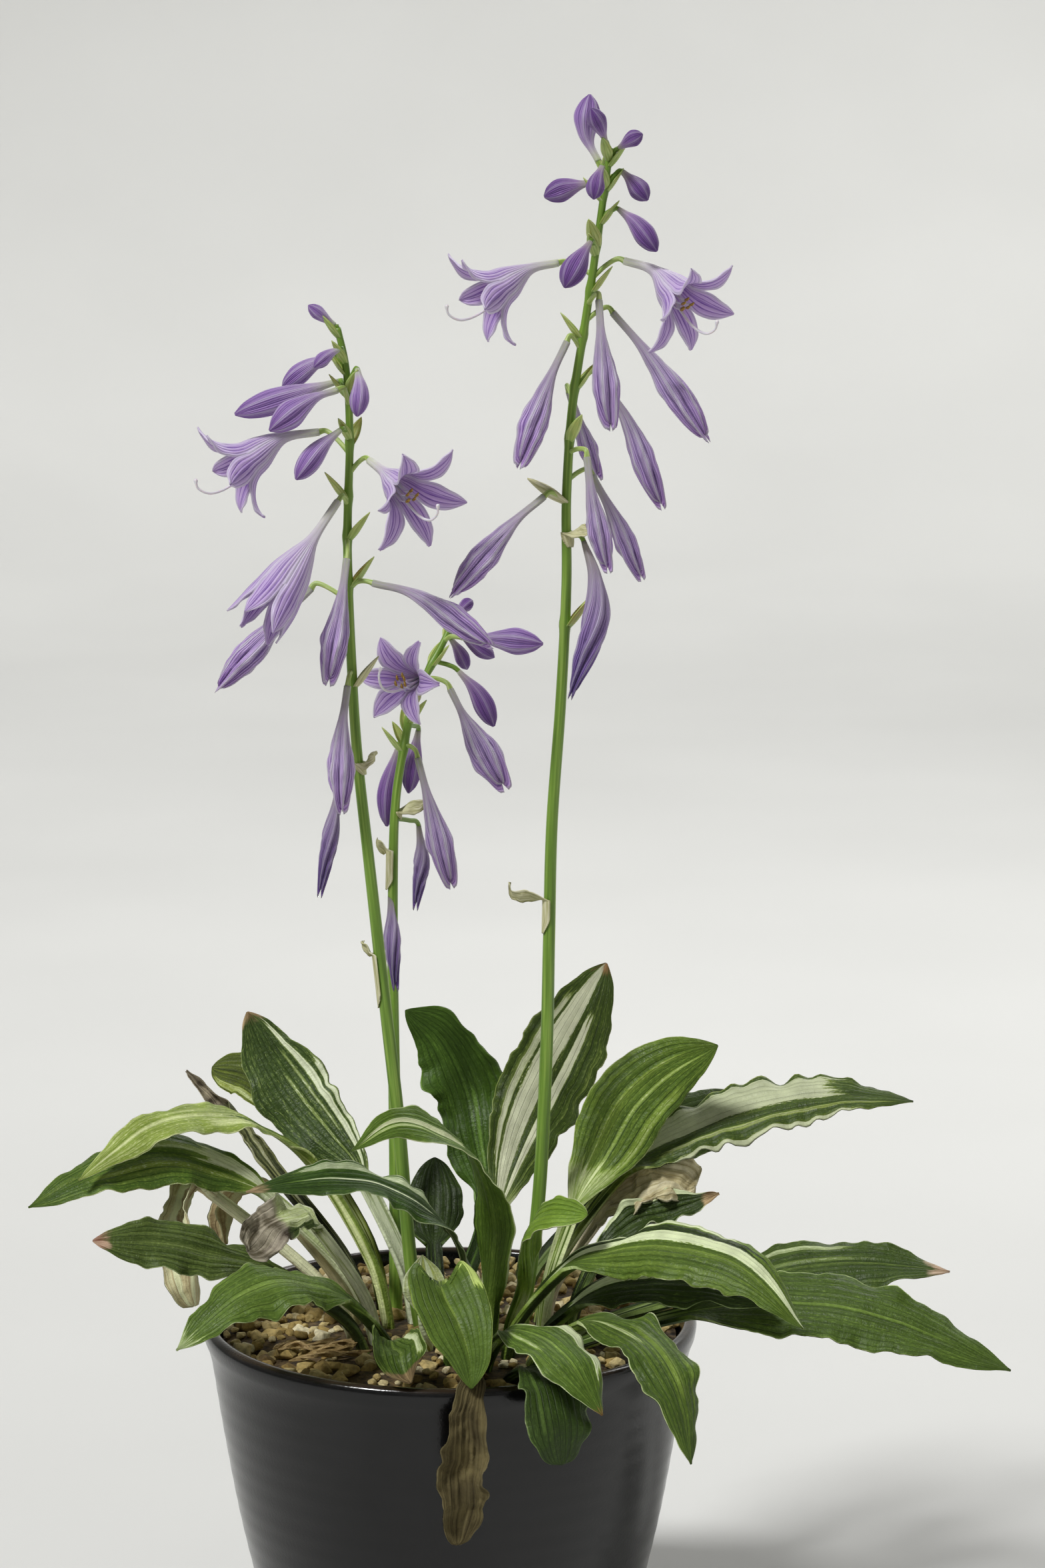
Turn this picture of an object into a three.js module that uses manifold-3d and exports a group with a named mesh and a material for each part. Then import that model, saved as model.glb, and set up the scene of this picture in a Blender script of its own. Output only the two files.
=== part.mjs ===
// A small variegated hosta in flower, growing in a round black glazed pot.
// Millimetres, +Z up. The origin is the centre of the pot's flat underside, the viewer is at -Y.
// Every leaf and bloom is one closed blade or bell; each flower stem carries its own stalks,
// bracts and small buds. The stems stand in plain holes in the gravel.
import * as THREE from 'three'
import Module from 'manifold-3d'

const wasm = await Module()
wasm.setup()

// ---------------------------------------------------------------- driving dimensions
const potHeight = 140
const rimRadius = 90
const turnedSides = 26
const baseRadius = 61
const potWall = 4.5
const potFloor = 8
const drainRadius = 6
const drainCircle = 34
const soilTop = 136
const fitGap = 0.4
const stoneCount = 42
const holeRadius = 4.5
const bladeThickness = 0.8
const petioleWidth = 4.6
const petioleDepth = 3.2
const petalThickness = 0.75
const stemBottomRadius = 2.5
const stemTopRadius = 1.2
const stalkRadius = 0.9

// ---------------------------------------------------------------- colours and materials
const material = (name, color, roughness) =>
  new THREE.MeshStandardMaterial({ name, color, roughness, metalness: 0 })
const glaze = () => material('black_glaze', '#15161a', 0.18)
const grit = () => material('tan_grit', '#a18a5c', 0.9)
const deepGreen = () => material('deep_green_leaf', '#3f5f2e', 0.45)
const freshGreen = () => material('fresh_green_leaf', '#6f9440', 0.45)
const creamGreen = () => material('cream_green_leaf', '#a9bd84', 0.45)
const witheredTan = () => material('withered_leaf', '#a08a63', 0.8)
const stemGreen = () => material('stem_green', '#6b8f35', 0.4)
const lavender = () => material('lavender_petal', '#b39fd6', 0.55)
const paleLavender = () => material('pale_lavender_petal', '#c9bfe2', 0.6)

// ---------------------------------------------------------------- small helpers
const vec = (p) => new THREE.Vector3(p[0], p[1], p[2])
const up = new THREE.Vector3(0, 0, 1)
const lerp = (a, b, t) => a + (b - a) * t
const smooth = (t) => {
  const c = Math.min(1, Math.max(0, t))
  return c * c * (3 - 2 * c)
}

function seeded(seed) {
  let state = seed
  return () => {
    state = (state * 16807) % 2147483647
    return state / 2147483647
  }
}

// A curve through the given points, read by its own length.
function curveThrough(points) {
  const curve = new THREE.CatmullRomCurve3(points.map(vec), false, 'catmullrom', 0.5)
  const steps = 24 * (points.length - 1)
  const dense = []
  const reach = [0]
  for (let i = 0; i <= steps; i += 1) {
    dense.push(curve.getPoint(i / steps))
    if (i > 0) reach.push(reach[i - 1] + dense[i].distanceTo(dense[i - 1]))
  }
  const length = reach[steps]
  const at = (distance) => {
    const d = Math.min(length, Math.max(0, distance))
    let i = 1
    while (i < steps && reach[i] < d) i += 1
    const t = (d - reach[i - 1]) / Math.max(1e-6, reach[i] - reach[i - 1])
    return dense[i - 1].clone().lerp(dense[i], t)
  }
  const along = (distance) => {
    const e = length * 0.012
    return at(distance + e).sub(at(distance - e)).normalize()
  }
  return { length, at, along, reach, knot: (index) => reach[index * 24] }
}

// ---------------------------------------------------------------- closed meshes
function signedVolume(points, faces) {
  let volume = 0
  for (const [a, b, c] of faces) {
    volume += points[a].dot(points[b].clone().cross(points[c])) / 6
  }
  return volume
}

function closedGeometry(points, faces) {
  const outward = signedVolume(points, faces) > 0
  const geometry = new THREE.BufferGeometry()
  const positions = points.flatMap((p) => [p.x, p.y, p.z])
  const order = faces.flatMap(([a, b, c]) => (outward ? [a, b, c] : [a, c, b]))
  geometry.setAttribute('position', new THREE.Float32BufferAttribute(positions, 3))
  geometry.setIndex(order)
  return geometry
}

// Rings of equal count joined in order, with a flat cap at each end.
function loft(rings) {
  const n = rings[0].length
  const points = rings.flat()
  const faces = []
  for (let r = 0; r + 1 < rings.length; r += 1) {
    for (let j = 0; j < n; j += 1) {
      const k = (j + 1) % n
      faces.push([r * n + j, r * n + k, r * n + n + k])
      faces.push([r * n + j, r * n + n + k, r * n + n + j])
    }
  }
  const last = (rings.length - 1) * n
  for (let j = 1; j + 1 < n; j += 1) {
    faces.push([0, j + 1, j])
    faces.push([last, last + j, last + j + 1])
  }
  return closedGeometry(points, faces)
}

// A thin blade from an upper and a lower grid, both split along the same diagonals.
function bladeSolid(top, bottom) {
  const rows = top.length
  const columns = top[0].length
  const points = [...top.flat(), ...bottom.flat()]
  const t = (i, j) => i * columns + j
  const b = (i, j) => rows * columns + i * columns + j
  const faces = []
  for (let i = 0; i + 1 < rows; i += 1) {
    for (let j = 0; j + 1 < columns; j += 1) {
      faces.push([t(i, j), t(i, j + 1), t(i + 1, j + 1)], [t(i, j), t(i + 1, j + 1), t(i + 1, j)])
      faces.push([b(i, j), b(i + 1, j + 1), b(i, j + 1)], [b(i, j), b(i + 1, j), b(i + 1, j + 1)])
    }
    const e = columns - 1
    faces.push([t(i, 0), t(i + 1, 0), b(i + 1, 0)], [t(i, 0), b(i + 1, 0), b(i, 0)])
    faces.push([t(i, e), b(i, e), b(i + 1, e)], [t(i, e), b(i + 1, e), t(i + 1, e)])
  }
  const f = rows - 1
  for (let j = 0; j + 1 < columns; j += 1) {
    faces.push([t(0, j), b(0, j), b(0, j + 1)], [t(0, j), b(0, j + 1), t(0, j + 1)])
    faces.push([t(f, j), t(f, j + 1), b(f, j + 1)], [t(f, j), b(f, j + 1), b(f, j)])
  }
  return closedGeometry(points, faces)
}

function gridNormal(grid, i, j) {
  const rows = grid.length - 1
  const columns = grid[0].length - 1
  const forward = grid[Math.min(rows, i + 1)][j].clone().sub(grid[Math.max(0, i - 1)][j])
  const across = grid[i][Math.min(columns, j + 1)].clone().sub(grid[i][Math.max(0, j - 1)])
  return forward.cross(across).normalize()
}

// ---------------------------------------------------------------- joining and cutting
function toManifold(geometry) {
  const mesh = new wasm.Mesh({
    numProp: 3,
    vertProperties: Float32Array.from(geometry.attributes.position.array),
    triVerts: Uint32Array.from(geometry.index.array),
  })
  mesh.merge()
  return new wasm.Manifold(mesh)
}

function fromManifold(solid) {
  const mesh = solid.getMesh()
  const geometry = new THREE.BufferGeometry()
  const positions = new THREE.Float32BufferAttribute(Float32Array.from(mesh.vertProperties), 3)
  geometry.setAttribute('position', positions)
  geometry.setIndex(Array.from(mesh.triVerts))
  return geometry
}

const fuse = (geometries) => {
  let solid = toManifold(geometries[0])
  for (const geometry of geometries.slice(1)) solid = solid.add(toManifold(geometry))
  return solid
}

// ---------------------------------------------------------------- leaves
// base: where the stalk leaves the gravel; path: start of the blade, then on to the tip.
// width: full width of the blade; roll: turn about its length at the start and at the tip;
// fold: V angle of the two halves; droop: how far the margins fall; wave, waves: rippled margin.
const leaves = {
  left_long: {
    base: [-27, -16, 131], path: [[-68, -10, 189], [-96, -20, 205], [-120, -32, 204], [-148, -45, 193]],
    width: 25, roll: [40, 30], fold: 8, droop: 0.3, wave: 1.6, waves: 2.5, color: creamGreen,
  },
  left_arch: {
    base: [-22, -8, 131], path: [[-50, 6, 194], [-69, -1, 211], [-84, -10, 217], [-105, -25, 217], [-130, -45, 203]],
    width: 19, roll: [-10, 45], fold: 10, droop: 0.2, wave: 1.5, waves: 3, color: creamGreen,
  },
  left_upright: {
    base: [-13, -1, 131], path: [[-32, 8, 190], [-44, 15, 203], [-55, 23, 214], [-65, 30, 227], [-75, 35, 245]],
    width: 28, roll: [60, 60], fold: 8, droop: 0.15, wave: 1.6, waves: 3, rows: 10, color: deepGreen,
  },
  left_back: {
    base: [-24, 14, 131], path: [[-62, 41, 205], [-75, 52, 217], [-90, 60, 218]],
    width: 21, roll: [25, 45], fold: 8, droop: 0.2, wave: 1.2, waves: 2, rows: 7, color: freshGreen,
  },
  left_thin: {
    base: [-31, 6, 131], path: [[-66, 30, 187], [-78, 44, 199], [-99, 57, 217]],
    width: 11, roll: [40, 70], fold: 20, droop: 0.1, wave: 1.2, waves: 2, rows: 7, color: deepGreen,
  },
  left_mid: {
    base: [14, -12, 131], path: [[9, -20, 155], [2, -31, 178], [-9, -39, 192], [-23, -44, 201], [-38, -50, 205], [-55, -56, 205], [-70, -61, 203]],
    width: 20, roll: [5, 45], fold: 10, droop: 0.2, wave: 1.5, waves: 3, rows: 11, color: deepGreen,
  },
  left_low: {
    base: [-29, -35, 131], path: [[-64, -42, 169], [-85, -50, 178], [-101, -55, 183], [-124, -60, 185]],
    width: 23, roll: [35, 45], fold: 8, droop: 0.2, wave: 1.6, waves: 3, color: deepGreen,
  },
  left_front: {
    base: [-20, -45, 131], path: [[-36, -60, 163], [-52, -75, 175], [-71, -89, 174], [-92, -101, 158]],
    width: 25, roll: [20, 30], fold: 6, droop: 0.3, wave: 2.2, waves: 2.5, color: freshGreen,
  },
  left_dead: {
    base: [-33, -24, 131], path: [[-84, -24, 176], [-92, -26, 180], [-97, -31, 176], [-95, -35, 163], [-90, -38, 153]],
    width: 15, roll: [30, 0], fold: 22, droop: 0.2, wave: 1.6, waves: 2, rows: 8, color: witheredTan,
  },
  left_dead_inner: {
    base: [-34, -5, 131], path: [[-64, 8, 178], [-73, 10, 184], [-80, 9, 178], [-82, 8, 164]],
    width: 14, roll: [30, -10], fold: 25, droop: 0.2, wave: 1.5, waves: 1.5, rows: 6, color: witheredTan,
  },
  left_grey: {
    base: [-26, -27, 131], path: [[-47, -40, 184], [-58, -46, 190], [-68, -52, 186], [-78, -59, 173]],
    width: 24, roll: [20, 40], fold: 14, droop: 0.3, wave: 2.6, waves: 3, rows: 8, color: witheredTan,
  },
  centre_arch: {
    base: [14, -36, 131], path: [[15, -38, 156], [16, -42, 188], [9, -50, 212], [-4, -60, 224], [-18, -71, 230], [-32, -84, 224]],
    width: 20, roll: [-8, 30], fold: 14, droop: 0.15, wave: 1.3, waves: 3, rows: 13, color: freshGreen,
  },
  back_dark: {
    base: [3, 9, 131], path: [[13, 24, 170], [9, 39, 197], [5, 48, 214], [-4, 52, 231], [-17, 50, 242]],
    width: 29, roll: [40, 15], fold: 8, droop: 0.15, wave: 2.0, waves: 3, rows: 10, color: deepGreen,
  },
  back_tall: {
    base: [14, 3, 131], path: [[18, 14, 176], [25, 27, 197], [34, 42, 214], [47, 57, 236], [58, 68, 256]],
    width: 33, roll: [-35, -40], fold: 10, droop: 0.15, wave: 2.0, waves: 3.5, rows: 10, color: creamGreen,
  },
  centre_dark: {
    base: [-4, -4, 131], path: [[-6, 10, 163], [-6, 24, 178], [-6, 34, 190]],
    width: 22, roll: [0, 0], fold: 12, droop: 0.2, wave: 1.5, waves: 2, rows: 7, color: deepGreen,
  },
  centre_pale: {
    base: [-9, -34, 131], path: [[-8, -38, 153], [-8, -41, 162], [-9, -40, 174]],
    width: 15, roll: [170, 170], fold: 10, droop: 0.1, wave: 0.6, waves: 1, rows: 6, color: creamGreen,
  },
  heart: {
    base: [2, -50, 131], path: [[-2, -64, 169], [0, -74, 175], [4, -86, 168], [8, -94, 155], [10, -97, 143]],
    width: 28, roll: [0, -10], fold: 16, droop: 0.1, wave: 0.8, waves: 1, heart: true, rows: 9, color: freshGreen,
  },
  front_curl: {
    base: [-17, -56, 131], path: [[-20, -66, 149], [-17, -78, 150], [-12, -90, 143]],
    width: 20, roll: [10, -20], fold: 20, droop: 0.2, wave: 2.2, waves: 2, rows: 6, color: freshGreen,
  },
  front_dead: {
    base: [7, -64, 131], path: [[10, -78, 143], [9, -92, 144], [7, -98, 130], [6, -98, 108], [5, -96, 86]],
    width: 17, roll: [0, 0], fold: 14, droop: 0.2, wave: 0.8, waves: 1.5, rows: 8, color: witheredTan,
  },
  right_broad: {
    base: [34, -15, 131], path: [[46, -4, 183], [57, 6, 202], [66, 10, 217], [80, 9, 230], [97, 3, 240]],
    width: 30, roll: [-55, -60], fold: 6, droop: 0.15, wave: 1.4, waves: 2, color: freshGreen,
  },
  right_white: {
    base: [32, -3, 131], path: [[63, 10, 190], [88, 16, 205], [112, 18, 213], [141, 17, 218], [169, 12, 217]],
    width: 27, roll: [-35, -30], fold: 8, droop: 0.2, wave: 1.8, waves: 4, rows: 12, color: creamGreen,
  },
  right_back: {
    base: [24, 10, 131], path: [[74, 42, 188], [89, 54, 197], [112, 66, 206]],
    width: 26, roll: [-40, -50], fold: 8, droop: 0.2, wave: 1.4, waves: 2, rows: 7, color: deepGreen,
  },
  right_dead: {
    base: [35, 6, 131], path: [[58, 14, 168], [70, 17, 181], [84, 18, 188], [97, 17, 181]],
    width: 19, roll: [-30, -60], fold: 14, droop: 0.3, wave: 2.4, waves: 3, rows: 8, color: witheredTan,
  },
  right_wavy: {
    base: [44, -12, 131], path: [[56, -6, 166], [68, -3, 176], [82, 0, 179], [98, 2, 185]],
    width: 16, roll: [-30, -50], fold: 16, droop: 0.2, wave: 2.0, waves: 3, rows: 9, color: deepGreen,
  },
  right_stripe: {
    base: [21, -42, 131], path: [[42, -52, 172], [58, -62, 182], [78, -78, 188], [101, -96, 186], [122, -111, 169]],
    width: 27, roll: [-30, -30], fold: 6, droop: 0.3, wave: 2.0, waves: 2.5, rows: 10, color: creamGreen,
  },
  right_mid: {
    base: [31, -33, 131], path: [[46, -40, 155], [60, -46, 165], [86, -56, 169], [114, -64, 163]],
    width: 22, roll: [-30, -40], fold: 8, droop: 0.2, wave: 1.8, waves: 3, color: deepGreen,
  },
  right_far_upper: {
    base: [42, -23, 131], path: [[92, -22, 155], [120, -25, 164], [150, -29, 168], [179, -33, 166]],
    width: 26, roll: [-35, -30], fold: 6, droop: 0.2, wave: 1.6, waves: 2.5, color: deepGreen,
  },
  right_far_lower: {
    base: [35, -44, 131], path: [[86, -46, 154], [120, -54, 161], [154, -63, 158], [197, -73, 142]],
    width: 30, roll: [-35, -35], fold: 6, droop: 0.2, wave: 1.6, waves: 3, rows: 10, color: freshGreen,
  },
  right_down: {
    base: [29, -54, 131], path: [[48, -66, 156], [62, -82, 160], [74, -97, 154], [81, -108, 140], [84, -112, 121]],
    width: 25, roll: [-10, -5], fold: 6, droop: 0.25, wave: 1.8, waves: 3, color: freshGreen,
  },
  front_right: {
    base: [13, -56, 131], path: [[21, -68, 153], [31, -82, 158], [43, -97, 153], [54, -107, 137]],
    width: 26, roll: [-5, -5], fold: 8, droop: 0.25, wave: 1.4, waves: 2.5, color: freshGreen,
  },
  front_low: {
    base: [22, -62, 131], path: [[29, -76, 142], [35, -88, 144], [39, -99, 134], [40, -101, 117]],
    width: 24, roll: [0, 0], fold: 6, droop: 0.2, wave: 1.8, waves: 2.5, rows: 8, color: deepGreen,
  },
  green_curl: {
    base: [22, -30, 131], path: [[28, -36, 162], [29, -43, 183], [35, -53, 193], [49, -65, 196]],
    width: 17, roll: [-10, 20], fold: 14, droop: 0.3, wave: 1.2, waves: 1.5, rows: 8, color: freshGreen,
  },
}

// Share of the full half width at s (0 start of the blade, 1 tip).
function bladeOutline(s, heart) {
  const rise = heart ? 0.28 : 0.8
  const fall = heart ? 0.8 : 1.02
  const peak = rise / (rise + fall)
  const shape = (x) => Math.pow(x, rise) * Math.pow(1 - x, fall)
  return shape(s) / shape(peak)
}

// The stalk runs straight out of its hole and then along the curve to the blade.
function leafPath(leaf) {
  const start = leaf.base
  const first = vec(leaf.path[0]).sub(vec(start))
  const lean = new THREE.Vector3(first.x * 0.22, first.y * 0.22, first.z * 0.45)
  const knee = vec(start).add(lean)
  return curveThrough([start, knee.toArray(), ...leaf.path])
}

function leafGrids(leaf, bladeRows, columns) {
  const curve = leafPath(leaf)
  const bladeStart = curve.knot(2)
  const bladeLength = curve.length - bladeStart
  const knee = curve.knot(1)
  const stalkStations = bladeStart > 48 ? [0, knee, (knee + bladeStart) / 2] : [0, knee]
  const startPoint = curve.at(0)
  const tipPoint = curve.at(curve.length)
  const heading = new THREE.Vector3(tipPoint.x - startPoint.x, tipPoint.y - startPoint.y, 0)
  const level = up.clone().cross(heading.normalize())
  const top = []
  const depths = []
  const stalkRows = stalkStations.length
  for (let i = -stalkRows; i <= bladeRows; i += 1) {
    const s = Math.max(0, i / bladeRows)
    const distance = i < 0 ? stalkStations[i + stalkRows] : bladeStart + bladeLength * s
    const centre = curve.at(distance)
    const along = curve.along(distance)
    const side = level.clone().addScaledVector(along, -level.dot(along)).normalize()
    const normal = along.clone().cross(side)
    const turn = THREE.MathUtils.degToRad(lerp(leaf.roll[0], leaf.roll[1], s) * smooth(distance / bladeStart))
    const right = side.clone().multiplyScalar(Math.cos(turn)).addScaledVector(normal, -Math.sin(turn))
    const face = normal.clone().multiplyScalar(Math.cos(turn)).addScaledVector(side, Math.sin(turn))
    const stalk = (petioleWidth / 2) * Math.pow(1 - s, 3)
    const blade = (leaf.width / 2) * (i > 0 ? bladeOutline(s, leaf.heart) : 0)
    const half = Math.max(0.5, Math.hypot(stalk, blade))
    const open = smooth(s * 5)
    const fold = THREE.MathUtils.degToRad(leaf.fold) * open
    const ripple = Math.pow(Math.sin(Math.PI * Math.min(1, s * 1.02)), 0.7)
    const row = []
    const depthRow = []
    for (let j = 0; j <= columns; j += 1) {
      const v = (2 * j) / columns - 1
      const w = Math.abs(v)
      const phase = v < 0 ? 0.4 : 2.3
      const beat = Math.sin(2 * Math.PI * leaf.waves * s + phase)
      const wave = leaf.wave * ripple * w * w * beat
      const channel = (1 - open) * 0.7 * w * w
      const seat = (petioleDepth / 2) * (1 - smooth(s * 4))
      const lift = half * (Math.sin(fold) * w - leaf.droop * open * w * w) + wave + channel + seat
      row.push(centre.clone().addScaledVector(right, v * half * Math.cos(fold)).addScaledVector(face, lift))
      depthRow.push(lerp(petioleDepth * (1 - 0.62 * w * w), bladeThickness, smooth(s * 4)))
    }
    top.push(row)
    depths.push(depthRow)
  }
  const bottom = top.map((row, i) =>
    row.map((p, j) => p.clone().addScaledVector(gridNormal(top, i, j), -depths[i][j])))
  return { top, bottom }
}

function makeLeaf(leaf) {
  const { top, bottom } = leafGrids(leaf, leaf.rows ?? 9, 4)
  return bladeSolid(top, bottom)
}

// ---------------------------------------------------------------- pot
function makePot() {
  const inner = rimRadius - potWall
  const profile = [
    [0, 0], [baseRadius - 3, 0], [baseRadius, 3], [69, 32], [77, 66], [83, 100], [87, 126],
    [rimRadius - 0.5, 134], [rimRadius, 137.5], [rimRadius - 1.4, potHeight],
    [inner, potHeight], [inner - 1.2, 136], [inner - 8, 92], [inner - 16, 56], [inner - 26, 20],
    [baseRadius - 5, potFloor], [0, potFloor],
  ]
  const points = profile.map(([r, z]) => new THREE.Vector2(r, z))
  const body = new THREE.LatheGeometry(points, turnedSides)
  body.rotateX(Math.PI / 2)
  let pot = weldedManifold(body)
  for (let i = 0; i < 3; i += 1) {
    const angle = (i * 2 * Math.PI) / 3 + Math.PI / 6
    const drain = new THREE.CylinderGeometry(drainRadius, drainRadius, potFloor * 3, 12)
    drain.rotateX(Math.PI / 2)
    drain.translate(drainCircle * Math.cos(angle), drainCircle * Math.sin(angle), potFloor / 2)
    pot = pot.subtract(weldedManifold(drain))
  }
  return fromManifold(pot)
}

function weldedManifold(geometry) {
  const source = geometry.attributes.position
  const keys = new Map()
  const points = []
  const remap = []
  for (let i = 0; i < source.count; i += 1) {
    const p = [source.getX(i), source.getY(i), source.getZ(i)].map((c) => Math.round(c * 1e4) / 1e4 + 0)
    const key = p.join()
    if (!keys.has(key)) {
      keys.set(key, points.length)
      points.push(vec(p))
    }
    remap.push(keys.get(key))
  }
  const index = geometry.index ? Array.from(geometry.index.array) : remap.map((_, i) => i)
  const faces = []
  for (let i = 0; i < index.length; i += 3) {
    const [a, b, c] = [remap[index[i]], remap[index[i + 1]], remap[index[i + 2]]]
    if (a !== b && b !== c && a !== c) faces.push([a, b, c])
  }
  return toManifold(closedGeometry(points, faces))
}

// ---------------------------------------------------------------- gravel
function soilBody() {
  const inner = rimRadius - potWall - fitGap
  const floor = potFloor + fitGap
  const profile = [
    [0, floor], [baseRadius - 5.4, floor], [inner - 26, 20.4], [inner - 16, 56],
    [inner - 8, 92], [inner - 1.8, soilTop], [0, soilTop],
  ]
  const points = profile.map(([r, z]) => new THREE.Vector2(r, z))
  const body = new THREE.LatheGeometry(points, turnedSides)
  body.rotateX(Math.PI / 2)
  return weldedManifold(body)
}

function stones() {
  const random = seeded(41)
  const made = []
  for (let i = 0; i < stoneCount; i += 1) {
    const angle = i * 2.39996
    const radius = 12 + 66 * Math.sqrt((i + 0.5) / stoneCount)
    const size = 4 + 3 * random()
    const stone = new THREE.CylinderGeometry(size * (0.45 + 0.25 * random()), size, size * 1.1, 5)
    stone.rotateX(Math.PI / 2)
    stone.scale(1, 0.7 + 0.25 * random(), 1)
    stone.rotateZ(6.28 * random())
    const height = soilTop + 0.2 * size
    stone.translate(radius * Math.cos(angle), radius * Math.sin(angle), height)
    made.push(stone)
  }
  return made
}

// Dry shreds of old leaf lying on the grit at the left.
function straws() {
  const made = []
  for (let i = 0; i < 4; i += 1) {
    const straw = new THREE.BoxGeometry(24 - 2 * i, 2.2, 1.6)
    straw.rotateZ(0.2 + 0.22 * i)
    straw.translate(-52 + 3 * i, -42 - 5 * i, soilTop + 0.5)
    made.push(straw)
  }
  return made
}

// A plain hole that follows a stalk from just below its foot until it is clear of the grit.
function stalkHole(curve, radius) {
  const foot = curve.along(0)
  const stations = [{ centre: curve.at(0).addScaledVector(foot, -1.2), direction: foot, radius }]
  for (let d = 6; d < 60 && curve.at(d - 6).z < soilTop + 8; d += 6) {
    stations.push({ centre: curve.at(d), direction: curve.along(d), radius })
  }
  return toManifold(loft(carriedRings(stations, 5)))
}

function makeGravel(openings) {
  let fill = soilBody()
  for (const stone of [...stones(), ...straws()]) fill = fill.add(weldedManifold(stone))
  for (const { curve, radius } of openings) fill = fill.subtract(stalkHole(curve, radius))
  return fromManifold(fill)
}

// ---------------------------------------------------------------- flower stems
// path: the stem from the gravel to its top. Each flower stalk starts at the height `at`
// on the stem and ends at the first point of its bud or bloom.
const scapeA = {
  path: [[-9, -16, 131], [-14, -13, 165], [-18, -14, 216], [-22, -14, 254], [-28, -14, 311],
    [-32, -13, 350], [-34, -12, 387], [-35, -11, 425], [-34, -10, 461], [-35, -10, 485], [-38, -10, 500]],
  fused: [
    { at: 499, path: [[-39, -10, 501], [-43, -11, 504], [-48, -12, 508]], radius: 1.8 },
    { at: 490, path: [[-37, -13, 493], [-41, -15, 491], [-46, -18, 487]], radius: 1.6 },
    { at: 486, path: [[-39, -5, 490], [-48, -3, 486], [-58, 0, 478]], radius: 2.2 },
    { at: 478, path: [[-38, -6, 481], [-52, -8, 477], [-74, -12, 470]], radius: 2.8 },
    { at: 480, path: [[-31, -14, 486], [-30, -18, 479], [-31, -20, 470]], radius: 2.2 },
    { at: 463, path: [[-37, -17, 465], [-44, -22, 459], [-52, -28, 449]], radius: 2.6 },
    { at: 345, path: [[-38, -16, 341], [-41, -18, 324], [-45, -18, 302]], radius: 2.3 },
  ],
  blooms: {
    big_bud: { at: 473, path: [[-38, -18, 479], [-47, -23, 476], [-61, -29, 466]], radius: 3.4 },
    open_left: { at: 456, mouth: [[-45, -4, 463], [-58, -6, 461], [-69, -9, 454]], radius: 7, spread: 56, reach: 17 },
    open_right: { at: 449, mouth: [[-27, -14, 454], [-22, -21, 451], [-15, -30, 446]], radius: 7, spread: 60, reach: 18 },
    spent_wide: { at: 438, mouth: [[-38, -17, 440], [-45, -24, 430], [-57, -33, 412]], radius: 8, spread: 13, reach: 19 },
    spent_left: { at: 404, path: [[-48, -7, 408], [-60, -8, 396], [-80, -12, 374]], radius: 5.2 },
    spent_front: { at: 426, path: [[-35, -19, 420], [-37, -26, 404], [-41, -28, 379]], radius: 5 },
    spent_right: { at: 409, path: [[-26, -15, 411], [-10, -20, 407], [14, -28, 392]], radius: 5 },
    spent_low: { at: 379, path: [[-35, -19, 375], [-37, -25, 358], [-37, -25, 333]], radius: 5 },
  },
  bracts: [[459, 60, 12], [440, 200, 13], [426, -20, 13], [409, 10, 14], [380, 0, 14], [346, -10, 12],
    [262, 170, 13]],
}

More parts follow.
